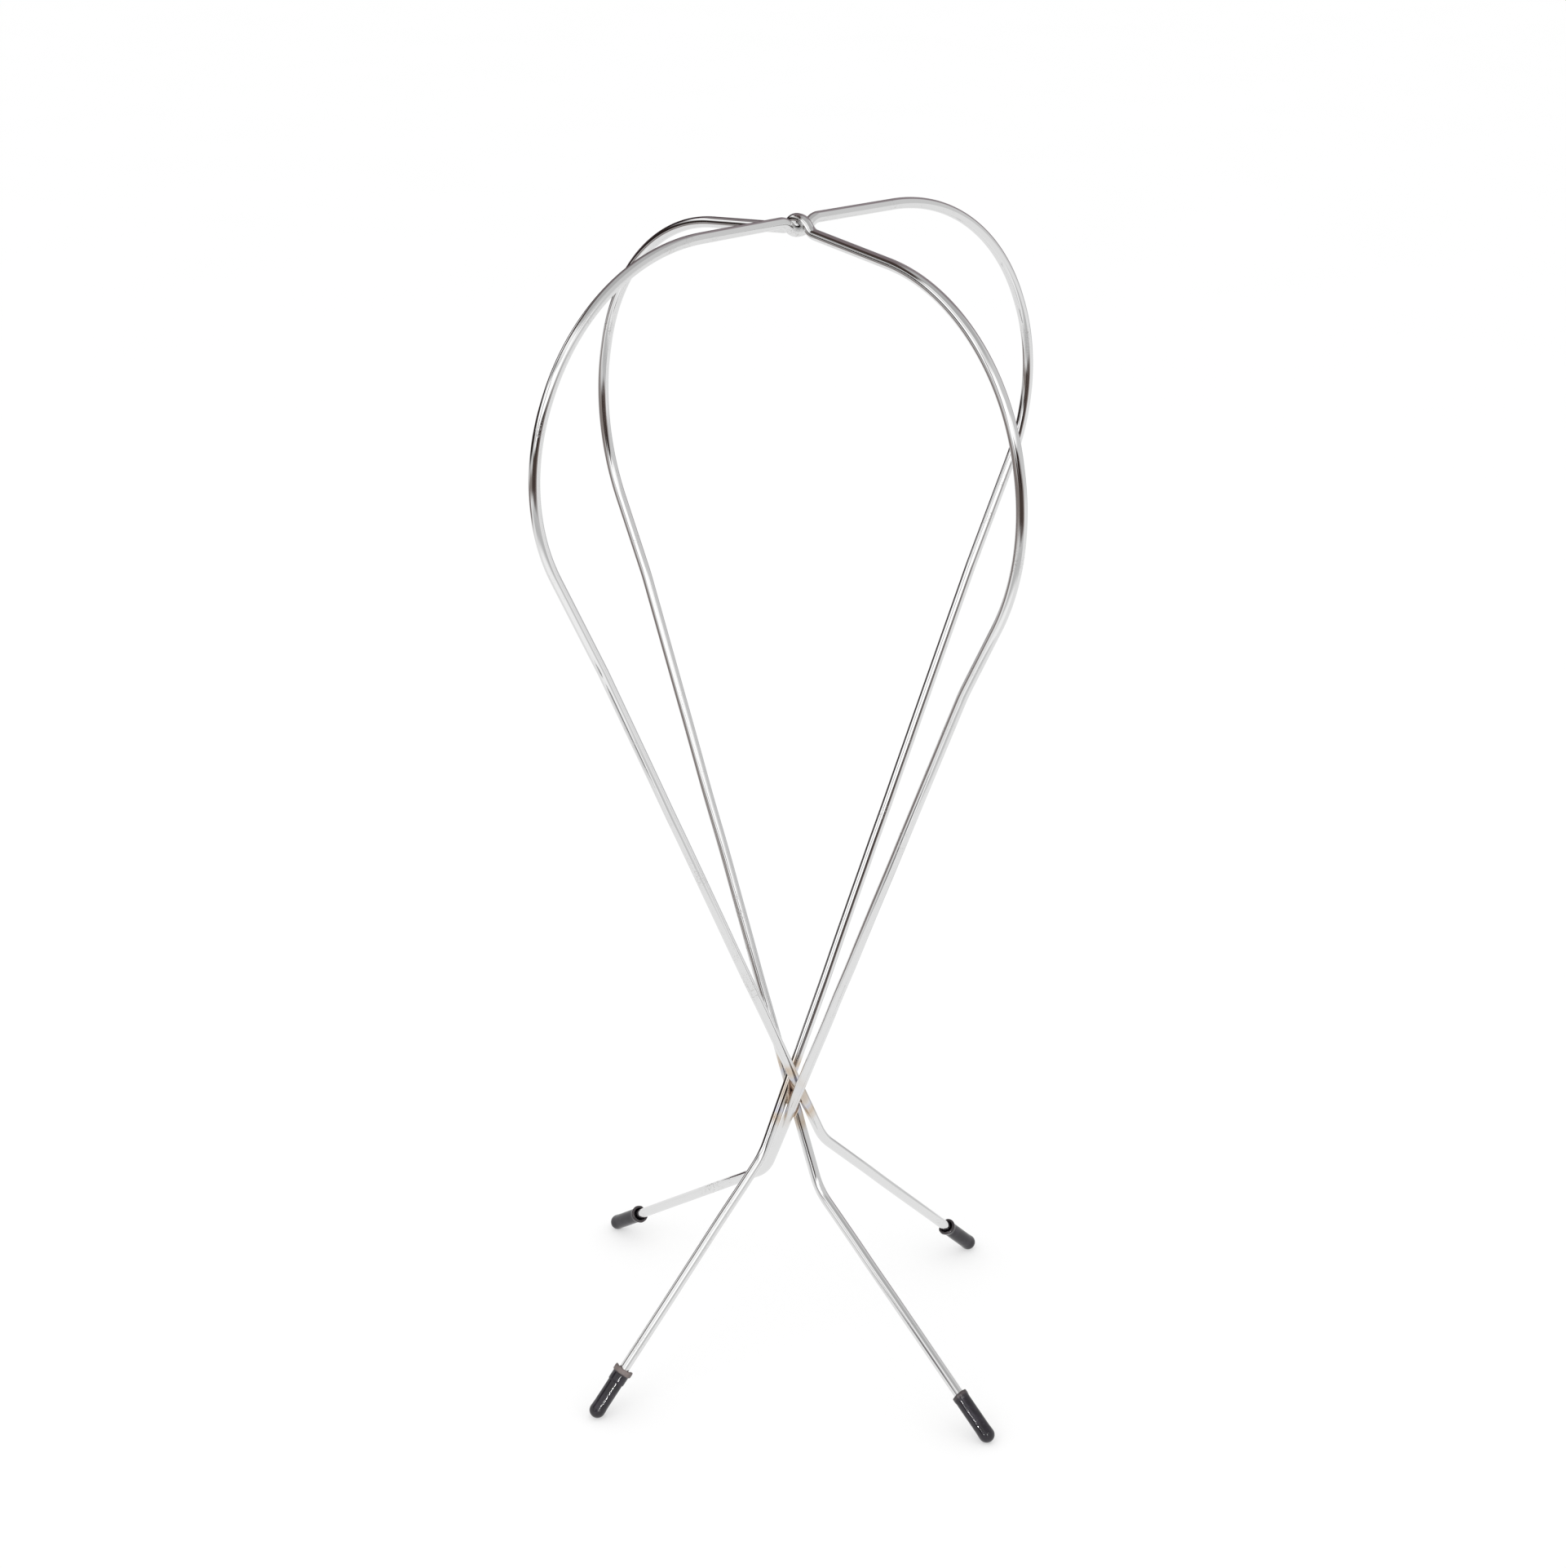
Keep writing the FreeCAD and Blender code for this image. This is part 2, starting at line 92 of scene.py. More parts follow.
@dataclass(frozen=True)
class Nodes:
    """A node tree, with a short way to add each kind of node that repeats."""

    tree: NodeTree

    def add(self, kind: str, inputs: dict[Any, Any] | None = None, **settings: Any) -> Node:
        """Adds one node with its settings, values and links.

        Args:
            kind: The node's type name.
            inputs: Value or source socket for each input, by name or number.
            settings: Properties of the node itself.

        Returns:
            The new node.
        """
        made = self.tree.nodes.new(kind)
        for name, value in settings.items():
            setattr(made, name, value)
        for key, value in (inputs or {}).items():
            if isinstance(value, NodeSocket):
                self.tree.links.new(value, made.inputs[key])
            else:
                made.inputs[key].default_value = value
        return made

    def maths(self, operation: str, *terms: Any) -> NodeSocket:
        """Result of an operation on numbers."""
        return self.add("ShaderNodeMath", dict(enumerate(terms)), operation=operation).outputs[0]

    def vector(self, operation: str, *terms: Any) -> NodeSocket:
        """Result of an operation on vectors: a vector, or the number that a length or product gives."""
        made = self.add("ShaderNodeVectorMath", dict(enumerate(terms)), operation=operation)
        return made.outputs["Value" if operation in ("LENGTH", "DOT_PRODUCT") else "Vector"]

    def span(self, source: NodeSocket, low: float, high: float, to_low: float = 0.0,
             to_high: float = 1.0) -> NodeSocket:
        """Maps one range of values to another, held at both ends.

        Args:
            source: The value to map.
            low: The value that becomes to_low.
            high: The value that becomes to_high.
            to_low: The result at the low end.
            to_high: The result at the high end.

        Returns:
            The mapped value.
        """
        values = {"Value": source, "From Min": low, "From Max": high, "To Min": to_low, "To Max": to_high}
        return self.add("ShaderNodeMapRange", values).outputs["Result"]

    def eased(self, source: NodeSocket, low: float, high: float) -> NodeSocket:
        """Eases a value from 0 at low to 1 at high, where low may be the larger."""
        values = {"Value": source, "From Min": low, "From Max": high}
        return self.add("ShaderNodeMapRange", values, interpolation_type="SMOOTHSTEP").outputs["Result"]

    def ramp(self, source: NodeSocket, stops: Stops) -> NodeSocket:
        """Adds a colour ramp.

        Args:
            source: The factor that drives the ramp.
            stops: Position and sRGB hex colour of each stop, in order.

        Returns:
            The ramp's colour.
        """
        made = self.add("ShaderNodeValToRGB", {0: source})
        elements = made.color_ramp.elements
        while len(elements) < len(stops):
            elements.new(1.0)
        for element, (position, colour) in zip(elements, stops):
            element.position = position
            element.color = linear(colour)
        return made.outputs["Color"]

    def blend(self, factor: NodeSocket, first: Any, second: Any) -> NodeSocket:
        """The first colour, going over to the second as the factor rises."""
        inputs = {"Factor": factor, 6: first, 7: second}
        return self.add("ShaderNodeMix", inputs, data_type="RGBA").outputs[2]

    def mixed(self, factor: NodeSocket, first: NodeSocket, second: NodeSocket) -> NodeSocket:
        """The first shader, going over to the second as the factor rises."""
        return self.add("ShaderNodeMixShader", {0: factor, 1: first, 2: second}).outputs[0]

    def place(self) -> NodeSocket:
        """Position in the object's own space."""
        return self.add("ShaderNodeTexCoord").outputs["Object"]

    def stored(self, name: str, output: str = "Fac") -> NodeSocket:
        """What the mesh holds in one of its attributes."""
        return self.add("ShaderNodeAttribute", attribute_name=name).outputs[output]

    def mottle(self, size: float, detail: float, roughness: float = 0.5,
               place: NodeSocket | None = None) -> NodeSocket:
        """Adds noise.

        Args:
            size: Size of its largest patches, in millimetres.
            detail: How many finer layers it has.
            roughness: How strong each finer layer is.
            place: Where it is read, or nothing for the object's own space.

        Returns:
            The noise, about 0.5 on average.
        """
        return self.add("ShaderNodeTexNoise", {
            "Vector": place or self.place(), "Scale": 1 / (size * MM), "Detail": detail,
            "Roughness": roughness}).outputs["Fac"]

    def relief(self, height: NodeSocket, strength: float, depth: float, below: NodeSocket | None = None,
               sunk: bool = False) -> NodeSocket:
        """Adds fine relief.

        Args:
            height: Its height, from 0 to 1.
            strength: How far it tilts the surface.
            depth: Depth at full height, in millimetres.
            below: The relief that it lies on, if any.
            sunk: Whether it goes inwards.

        Returns:
            The tilted normal.
        """
        inputs = {"Height": height, "Strength": strength, "Distance": depth * MM}
        if below:
            inputs["Normal"] = below
        return self.add("ShaderNodeBump", inputs, invert=sunk).outputs[0]

    def surface(self, inputs: dict[str, Any]) -> NodeSocket:
        """Shader of a plain or metal surface."""
        return self.add("ShaderNodeBsdfPrincipled", inputs).outputs[0]


class Frame(Enum):
    """The two bent wires."""

    WIDE = "wide"
    NARROW = "narrow"


@dataclass(frozen=True)
class Crossing:
    """Sizes that both wires share, in millimetres. The half angle is in degrees."""

    wire_diameter: float = 9.0
    strand_gap: float = 0.25
    knot_height: float = 1004.0
    kink_flat: float = 6.0
    kink_run: float = 9.0
    kink_radius: float = 12.0
    wide_height: float = 252.0
    narrow_height: float = 221.0
    tip_level: float = 6.5
    half_angle: float = 45.0

    @property
    def wire_radius(self) -> float:
        """Half the wire's diameter."""
        return self.wire_diameter / 2

    @property
    def strand_offset(self) -> float:
        """Half the centre distance of two strands that pass each other."""
        return (self.wire_diameter + self.strand_gap) / 2

    @property
    def centre(self) -> Vector:
        """Middle of the brazed crossing, in metres."""
        return Vector((0.0, 0.0, (self.wide_height + self.narrow_height) / 2 * MM))


CROSSING = Crossing()


@dataclass(frozen=True)
class Bends:
    """Driving sizes of one wire's bends, in millimetres."""

    arm_rise: float
    shoulder_reach: float
    shoulder_rise: float
    shoulder_radius: float
    flank_reach: float
    flank_drop: float
    flank_radius: float
    bulge_reach: float
    bulge_drop: float
    bulge_radius: float
    ankle_reach: float
    ankle_radius: float
    foot_reach: float
    crossing_height: float
    knot_side: int
    lean_side: int


BENDS = {
    Frame.WIDE: Bends(
        arm_rise=4.0, shoulder_reach=207.5, shoulder_rise=2.5, shoulder_radius=165.0,
        flank_reach=284.0, flank_drop=169.0, flank_radius=162.0,
        bulge_reach=204.8, bulge_drop=323.0, bulge_radius=200.0,
        ankle_reach=31.0, ankle_radius=62.0, foot_reach=219.5,
        crossing_height=CROSSING.wide_height, knot_side=-1, lean_side=1),
    Frame.NARROW: Bends(
        arm_rise=-4.5, shoulder_reach=219.0, shoulder_rise=-26.0, shoulder_radius=164.0,
        flank_reach=262.0, flank_drop=212.5, flank_radius=186.0,
        bulge_reach=196.6, bulge_drop=336.0, bulge_radius=208.0,
        ankle_reach=29.5, ankle_radius=46.0, foot_reach=242.0,
        crossing_height=CROSSING.narrow_height, knot_side=1, lean_side=-1),
}


@dataclass
class HalfWire:
    """Centre line of half a wire: from the knot round a lobe, through the crossing to a foot."""

    frame: Frame
    opposite: bool
    longest_step: float = 4.0
    turn_step: float = math.radians(3.0)

    @property
    def bends(self) -> Bends:
        """Driving sizes of this half's wire."""
        return BENDS[self.frame]

    @property
    def knot_level(self) -> float:
        """Height of the centre line where it passes the knot."""
        return CROSSING.knot_height + self.bends.knot_side * CROSSING.strand_offset

    @property
    def lean(self) -> float:
        """Lean of the half's plane that sets the two strands side by side at the crossing."""
        run = self.knot_level - self.bends.crossing_height
        return self.bends.lean_side * math.atan(CROSSING.strand_offset / run)

    def corners(self) -> list[Vector]:
        """Places the corner points in the leaning plane.

        Returns:
            Reach from the axis and drop from the knot of each corner, from the knot to the foot.
        """
        bends = self.bends
        bulge = CROSSING.knot_height - bends.bulge_drop
        fall = (bulge - bends.crossing_height) * bends.ankle_reach / bends.bulge_reach
        levels = [
            (0.0, self.knot_level),
            (CROSSING.kink_flat, self.knot_level),
            (CROSSING.kink_flat + CROSSING.kink_run, CROSSING.knot_height + bends.arm_rise),
            (bends.shoulder_reach, CROSSING.knot_height + bends.shoulder_rise),
            (bends.flank_reach, CROSSING.knot_height - bends.flank_drop),
            (bends.bulge_reach, bulge),
            (-bends.ankle_reach, bends.crossing_height - fall),
            (-bends.foot_reach, CROSSING.tip_level),
        ]
        slope = math.cos(self.lean)
        return [Vector((reach, (level - self.knot_level) / slope)) for reach, level in levels]

    def plane_points(self) -> list[Vector]:
        """Follows the straight runs and tangent bends in the leaning plane.

        Returns:
            Points of the centre line, from the knot to the foot.
        """
        bends = self.bends
        radii = [CROSSING.kink_radius, CROSSING.kink_radius, bends.shoulder_radius,
                 bends.flank_radius, bends.bulge_radius, bends.ankle_radius]
        corners = self.corners()
        points = [corners[0]]
        for before, corner, after, radius in zip(corners, corners[1:], corners[2:], radii):
            self.add_bend(points, before, corner, after, radius)
        self.add_run(points, corners[-1])
        return points

    def add_run(self, points: list[Vector], end: Vector) -> None:
        """Adds evenly spaced points from the last one up to an end point.

        Args:
            points: The points so far, which grow.
            end: Where the straight run ends.
        """
        start = points[-1].copy()
        count = max(1, math.ceil((end - start).length / self.longest_step))
        points.extend(start.lerp(end, step / count) for step in range(1, count + 1))

    def add_bend(self, points: list[Vector], before: Vector, corner: Vector, after: Vector,
                 radius: float) -> None:
        """Adds the straight run up to a corner and the tangent arc that rounds it.

        Args:
            points: The points so far, which grow.
            before: The corner before.
            corner: The corner that is rounded.
            after: The corner after.
            radius: The bend's radius.
        """
        back, ahead = (before - corner).normalized(), (after - corner).normalized()
        half = back.angle(ahead) / 2
        self.add_run(points, corner + back * (radius / math.tan(half)))
        centre = corner + (back + ahead).normalized() * (radius / math.sin(half))
        arm = points[-1] - centre
        turn = math.pi - 2 * half
        if back.x * ahead.y - back.y * ahead.x > 0:
            turn = -turn
        step = min(self.turn_step, self.longest_step / radius)
        count = max(2, math.ceil(abs(turn) / step))
        for index in range(1, count + 1):
            angle = turn * index / count
            cosine, sine = math.cos(angle), math.sin(angle)
            swung = Vector((arm.x * cosine - arm.y * sine, arm.x * sine + arm.y * cosine))
            points.append(centre + swung)

    def points(self) -> list[Vector]:
        """Sets the centre line in the stand's frame.

        Returns:
            Its points in metres, from the knot to the foot.
        """
        yaw = CROSSING.half_angle * (1 if self.frame is Frame.WIDE else -1)
        turn = Matrix.Rotation(math.radians(yaw + (180.0 if self.opposite else 0.0)), 4, "Z")
        placed = []
        for reach, drop in self.plane_points():
            height = self.knot_level + drop * math.cos(self.lean)
            placed.append(turn @ (Vector((reach, -drop * math.sin(self.lean), height)) * MM))
        return placed


@dataclass(frozen=True)
class Finish:
    """A surface finish, built once as a material. Its sizes are in millimetres."""

    name: str

    def material(self) -> Material:
        """Builds the finish's material on its first use.

        Returns:
            The material.
        """
        if self.name not in bpy.data.materials:
            made = bpy.data.materials.new(self.name)
            made.use_nodes = True
            nodes = Nodes(made.node_tree)
            nodes.tree.nodes.clear()
            nodes.add("ShaderNodeOutputMaterial", {"Surface": self.shader(nodes)})
        return bpy.data.materials[self.name]

    def shader(self, nodes: Nodes) -> NodeSocket:
        """The shader that the material shows."""
        raise NotImplementedError


@dataclass(frozen=True)
class PlatedSteel(Finish):
    """Bright nickel-chromium plate on drawn steel wire, lightly pitted, heat tinted by brazing.

    Pits show where the fine noise and the noise of the clouds both rise through their edges.
    """

    name: str = "bright_nickel_plate"
    plate: str = "#e6e6e6"
    tarnish: str = "#8d857e"
    tarnish_share: float = 0.55
    roughness: tuple[float, float] = (0.045, 0.1)
    haze_edges: tuple[float, float] = (0.35, 0.75)
    pit_roughness: float = 0.16
    pit_size: float = 1.3
    pit_edges: tuple[float, float] = (0.54, 0.7)
    pit_depth: float = 0.045
    pit_strength: float = 0.9
    cloud_size: float = 38.0
    cloud_edges: tuple[float, float] = (0.55, 0.66)
    mark_size: float = 1.8
    mark_squeeze: float = 0.03
    mark_depth: float = 0.02
    mark_strength: float = 0.18
    tint_reach: float = 40.0
    tint_rise: float = 5.5
    tint_patch: float = 16.0
    tint_waver: tuple[float, float] = (0.88, 1.14)
    tints: Stops = (
        (0.0, "#bfae9d"), (0.3, "#d0c6bb"), (0.42, "#dad7d5"), (0.5, "#cfcfd8"), (0.58, "#d6cec5"),
        (0.68, "#d2c3b3"), (0.78, "#ddd6ce"), (0.92, "#e4e3e2"))

    def shader(self, nodes: Nodes) -> NodeSocket:
        """Mirror plate with the heat tint's rings, dulled where it is pitted.

        Args:
            nodes: The material's tree.

        Returns:
            The shader.
        """
        tinted = self.heat_tint(nodes)
        clouds = nodes.mottle(self.cloud_size, 3.0, 0.6)
        pits = nodes.mottle(self.pit_size, 3.0, 0.7)
        spots = nodes.maths("MULTIPLY", nodes.span(pits, *self.pit_edges),
                            nodes.span(clouds, *self.cloud_edges))
        tarnished = nodes.span(spots, 0.0, 1.0, 0.0, self.tarnish_share)
        rough = nodes.maths("ADD", nodes.span(clouds, *self.haze_edges, *self.roughness),
                            nodes.span(spots, 0.0, 1.0, 0.0, self.pit_roughness))
        return nodes.surface({
            "Base Color": nodes.blend(tarnished, tinted, linear(self.tarnish)), "Metallic": 1.0,
            "Roughness": rough, "Normal": self.drawn_surface(nodes, spots)})

    def heat_tint(self, nodes: Nodes) -> NodeSocket:
        """Rings of temper colour round the brazed crossing, as strong as the mesh's tint says.

        Args:
            nodes: The material's tree.

        Returns:
            The plate's colour.
        """
        middle = CROSSING.centre + Vector((0.0, 0.0, self.tint_rise * MM))
        away = nodes.vector("LENGTH", nodes.vector("SUBTRACT", nodes.place(), middle))
        uneven = nodes.span(nodes.mottle(self.tint_patch, 2.0), *MOST_NOISE, *self.tint_waver)
        share = nodes.span(nodes.maths("MULTIPLY", away, uneven), 0.0, self.tint_reach * MM)
        tint = nodes.ramp(share, [*self.tints, (1.0, self.plate)])
        return nodes.blend(nodes.stored("tint"), linear(self.plate), tint)

    def drawn_surface(self, nodes: Nodes, spots: NodeSocket) -> NodeSocket:
        """Relief of the wire: long shallow drawing marks and the pitted patches.

        Args:
            nodes: The material's tree.
            spots: How pitted the plate is, from 0 to 1.

        Returns:
            The normal.
        """
        radius = CROSSING.wire_radius * MM
        around = nodes.vector("MULTIPLY", nodes.stored("around", "Vector"), (radius, radius, 0.0))
        along = nodes.maths("MULTIPLY", nodes.stored("along"), self.mark_squeeze)
        lengthwise = nodes.add("ShaderNodeCombineXYZ", {"Z": along}).outputs[0]
        marks = nodes.mottle(self.mark_size, 1.0, place=nodes.vector("ADD", around, lengthwise))
        grooves = nodes.relief(marks, self.mark_strength, self.mark_depth)
        return nodes.relief(spots, self.pit_strength, self.pit_depth, grooves, sunk=True)


@dataclass(frozen=True)
class BrazeMetal(Finish):
    """Silver-brass brazing filler, plated thinly with the wires and left brown by its flux, with painted
    shade taking its deepest creases to near black.
    """

    name: str = "brass_braze_under_plate"
    patch_size: float = 7.0
    patch_shift: tuple[float, float] = (-0.2, 0.2)
    lump_size: float = 1.4
    lump_depth: float = 0.12
    lump_strength: float = 0.3
    roughness: tuple[float, float] = (0.16, 0.5)
    # Colours by crease depth: the tan and brown are the filler's own, and the last near-black stop is
    # painted crease shade.
    oxide_and_crease_shade: Stops = ((0.0, "#d6cabd"), (0.35, "#b9a18b"), (0.7, "#86695a"), (1.0, "#2a1f1a"))

    def shader(self, nodes: Nodes) -> NodeSocket:
        """Tan metal at the fillet's feet, oxidised brown along its deepest line, where painted shade takes
        it to near black.

        Args:
            nodes: The material's tree.

        Returns:
            The shader.
        """
        uneven = nodes.span(nodes.mottle(self.patch_size, 1.0), *MOST_NOISE, *self.patch_shift)
        # Crease depth drives both the filler's brown and the painted crease shade.
        burnt_and_shaded = nodes.maths("ADD", nodes.stored("crease"), uneven)
        lumps = nodes.mottle(self.lump_size, 3.0)
        return nodes.surface({
            "Base Color": nodes.ramp(burnt_and_shaded, self.oxide_and_crease_shade), "Metallic": 1.0,
            "Roughness": nodes.span(burnt_and_shaded, 0.0, 1.0, *self.roughness),
            "Normal": nodes.relief(lumps, self.lump_strength, self.lump_depth)})


@dataclass(frozen=True)
class MouldedRubber(Finish):
    """Black dip-moulded vinyl rubber, semi-gloss, greyed at its cut lip and scuffed where it rubs."""

    name: str = "black_moulded_rubber"
    skin: Stops = ((0.3, "#151217"), (0.5, "#1b181e"), (0.72, "#28242c"))
    scuffed: str = "#5a555b"
    scuffed_share: float = 0.25
    scuff_edges: tuple[float, float] = (0.58, 0.74)
    scuff_patches: tuple[float, float] = (0.45, 0.65)
    cut_edge: str = "#6f6461"
    dust_patches: tuple[float, float] = (0.35, 0.6)
    dust_share: tuple[float, float] = (0.55, 1.0)
    roughness: tuple[float, float] = (0.1, 0.19)
    dusty_roughness: float = 0.5
    patch_size: float = 9.0
    grain_size: float = 1.6
    peel_depth: float = 0.012
    peel_strength: float = 0.15
    refraction: float = 1.48

    def shader(self, nodes: Nodes) -> NodeSocket:
        """Black skin with dusty scuffs, a brownish lip and the orange peel of the mould.

        Args:
            nodes: The material's tree.

        Returns:
            The shader.
        """
        broad = nodes.mottle(self.patch_size, 4.0)
        fine = nodes.mottle(self.grain_size, 3.0)
        scuffs = nodes.maths("MULTIPLY", nodes.span(fine, *self.scuff_edges),
                             nodes.span(broad, *self.scuff_patches))
        worn = nodes.blend(nodes.span(scuffs, 0.0, 1.0, 0.0, self.scuffed_share),
                           nodes.ramp(broad, self.skin), linear(self.scuffed))
        dusty = nodes.maths("MULTIPLY", nodes.stored("lip"),
                            nodes.span(broad, *self.dust_patches, *self.dust_share))
        rough = nodes.maths("ADD", nodes.span(broad, *MOST_NOISE, *self.roughness),
                            nodes.span(dusty, 0.0, 1.0, 0.0, self.dusty_roughness))
        return nodes.surface({
            "Base Color": nodes.blend(dusty, worn, linear(self.cut_edge)), "Roughness": rough,
            "Normal": nodes.relief(fine, self.peel_strength, self.peel_depth), "IOR": self.refraction})


@dataclass(frozen=True)
class SeamlessPaper(Finish):
    """White seamless studio paper, matt."""

    name: str = "white_seamless_paper"
    fibre_size: float = 1000 / 3
    sheet: Stops = ((0.3, "#fefefe"), (0.7, "#ffffff"))
    camera_glow: float = 0.45

    def shader(self, nodes: Nodes) -> NodeSocket:
        """Plain white with the faintest mottling of the sheet; the camera sees its shadows thinned.

        Args:
            nodes: The material's tree.

        Returns:
            The shader.
        """
        paper = nodes.surface({
            "Base Color": nodes.ramp(nodes.mottle(self.fibre_size, 2.0), self.sheet),
            "Roughness": 0.95, "Specular IOR Level": 0.0})
        white = nodes.add("ShaderNodeEmission", {"Color": WHITE, "Strength": 1.0}).outputs[0]
        camera = nodes.add("ShaderNodeLightPath").outputs["Is Camera Ray"]
        return nodes.mixed(nodes.maths("MULTIPLY", camera, self.camera_glow), paper, white)


@dataclass(frozen=True)
class PaperRim(Finish):
    """A glowing dish of painted reflection: the lit paper round the feet and its raised rim, its light and
    shade painted as emission, as only reflections show them.

    The stretches give the rim's painted tone by its heading in degrees from +X.
    """

    name: str = "painted_reflection_rim"
    flat_tone: str = "#ebebeb"
    strength: float = 1.12
    rim_from: float = 4.0
    rim_full: float = 30.0
    stretches: Stops = (
        (-180, "#e2e2e2"), (-150, "#dcdcdc"), (-132, "#c4c4c4"), (-123, "#6c6a6b"),
        (-114, "#6c6a6b"), (-107, "#e8e8e8"), (-101, "#ffffff"), (-93, "#ffffff"),
        (-84, "#cfcfcf"), (-72, "#c2c2c2"), (-60, "#cccccc"), (-45, "#dddddd"),
        (-20, "#eeeeee"), (18, "#eeeeee"), (36, "#cecece"), (62, "#cecece"),
        (90, "#ececec"), (140, "#eaeaea"), (180, "#e2e2e2"))

    def shader(self, nodes: Nodes) -> NodeSocket:
        """Painted light and shade, given as emission: white towards the softbox, greyer to both sides of
        it and on the right at the back.

        Args:
            nodes: The material's tree.

        Returns:
            The shader.
        """
        parts = nodes.add("ShaderNodeSeparateXYZ", {0: nodes.place()}).outputs
        heading = nodes.maths("ARCTAN2", parts["Y"], parts["X"])
        stops = [((degrees + 180) / 360, tone) for degrees, tone in self.stretches]
        tone = nodes.ramp(nodes.span(heading, -math.pi, math.pi), stops)
        raised = nodes.span(parts["Z"], self.rim_from * MM, self.rim_full * MM)
        shown = nodes.blend(raised, linear(self.flat_tone), tone)
        # The painted tone glows as emission, and no lamp lights it.
        return nodes.add("ShaderNodeEmission", {"Color": shown, "Strength": self.strength}).outputs[0]


STEEL = PlatedSteel()
BRAZE = BrazeMetal()
RUBBER = MouldedRubber()
PAPER = SeamlessPaper()
RIM = PaperRim()


def new_object(name: str, data: Any) -> Object:
    """Links a mesh, a light or a camera into the scene as an object at the origin.

    Args:
        name: The object's name.
        data: What it holds.

    Returns:
        The object.
    """
    made = bpy.data.objects.new(name, data)
    bpy.context.scene.collection.objects.link(made)
    return made


def baked(source: Object, name: str) -> Object:
    """Turns an object with its modifiers into a plain mesh object and removes the source.

    Args:
        source: The object to evaluate.
        name: The plain object's name.

    Returns:
        The new object.
    """
    graph = bpy.context.evaluated_depsgraph_get()
    mesh = bpy.data.meshes.new_from_object(source.evaluated_get(graph))
    mesh.name = name
    bpy.data.objects.remove(source)
    return new_object(name, mesh)


def store(mesh: Mesh, name: str, values: Sequence[float]) -> None:
    """Keeps one number for each vertex in an attribute of the mesh."""
    mesh.attributes.new(name, "FLOAT", "POINT").data.foreach_set("value", values)


def smooth_step(share: float) -> float:
    """Eases a share from 0 to 1, held at both ends."""
    held = min(1.0, max(0.0, share))
    return held * held * (3 - 2 * held)


def ring_faces(rings: int, sides: int) -> Iterable[list[int]]:
    """Joins successive rings of a turned shape.

    Args:
        rings: Number of rings, from the lowest up.
        sides: Number of corners of each ring.

    Yields:
        Each face, with its normal outwards.
    """
    for ring in range(rings - 1):
        for side in range(sides):
            after = (side + 1) % sides
            yield [ring * sides + side, ring * sides + after,
                   (ring + 1) * sides + after, (ring + 1) * sides + side]


def tube_between(start: Vector, end: Vector, rings: Sequence[tuple[float, float]], sides: int) -> Shell:
    """Closed tube along a straight axis.

    Args:
        start: Lower end of the axis.
        end: Upper end of the axis.
        rings: Share of the way along and radius of each ring.
        sides: Number of corners of each ring.

    Returns:
        Vertices and faces, with the normals outwards.
    """
    axis = (end - start).normalized()
    across = axis.orthogonal().normalized()
    other = axis.cross(across)
    vertices = []
    for share, radius in rings:
        for side in range(sides):
            angle = math.tau * side / sides
            spoke = across * math.cos(angle) + other * math.sin(angle)
            vertices.append(start.lerp(end, share) + spoke * radius)
    faces = list(ring_faces(len(rings), sides))
    faces.append(list(range(sides))[::-1])
    faces.append([(len(rings) - 1) * sides + side for side in range(sides)])
    return vertices, faces


def merged_mesh(name: str, shells: Iterable[Shell]) -> Mesh:
    """Joins shells into one mesh.

    Args:
        name: The mesh's name.
        shells: Vertices and faces of each shell.

    Returns:
        The mesh.
    """
    vertices: list[Vector] = []
    faces: list[list[int]] = []
    for shell_vertices, shell_faces in shells:
        base = len(vertices)
        vertices.extend(shell_vertices)
        faces.extend([base + index for index in face] for face in shell_faces)
    mesh = bpy.data.meshes.new(name)
    mesh.from_pydata(vertices, [], faces)
    return mesh


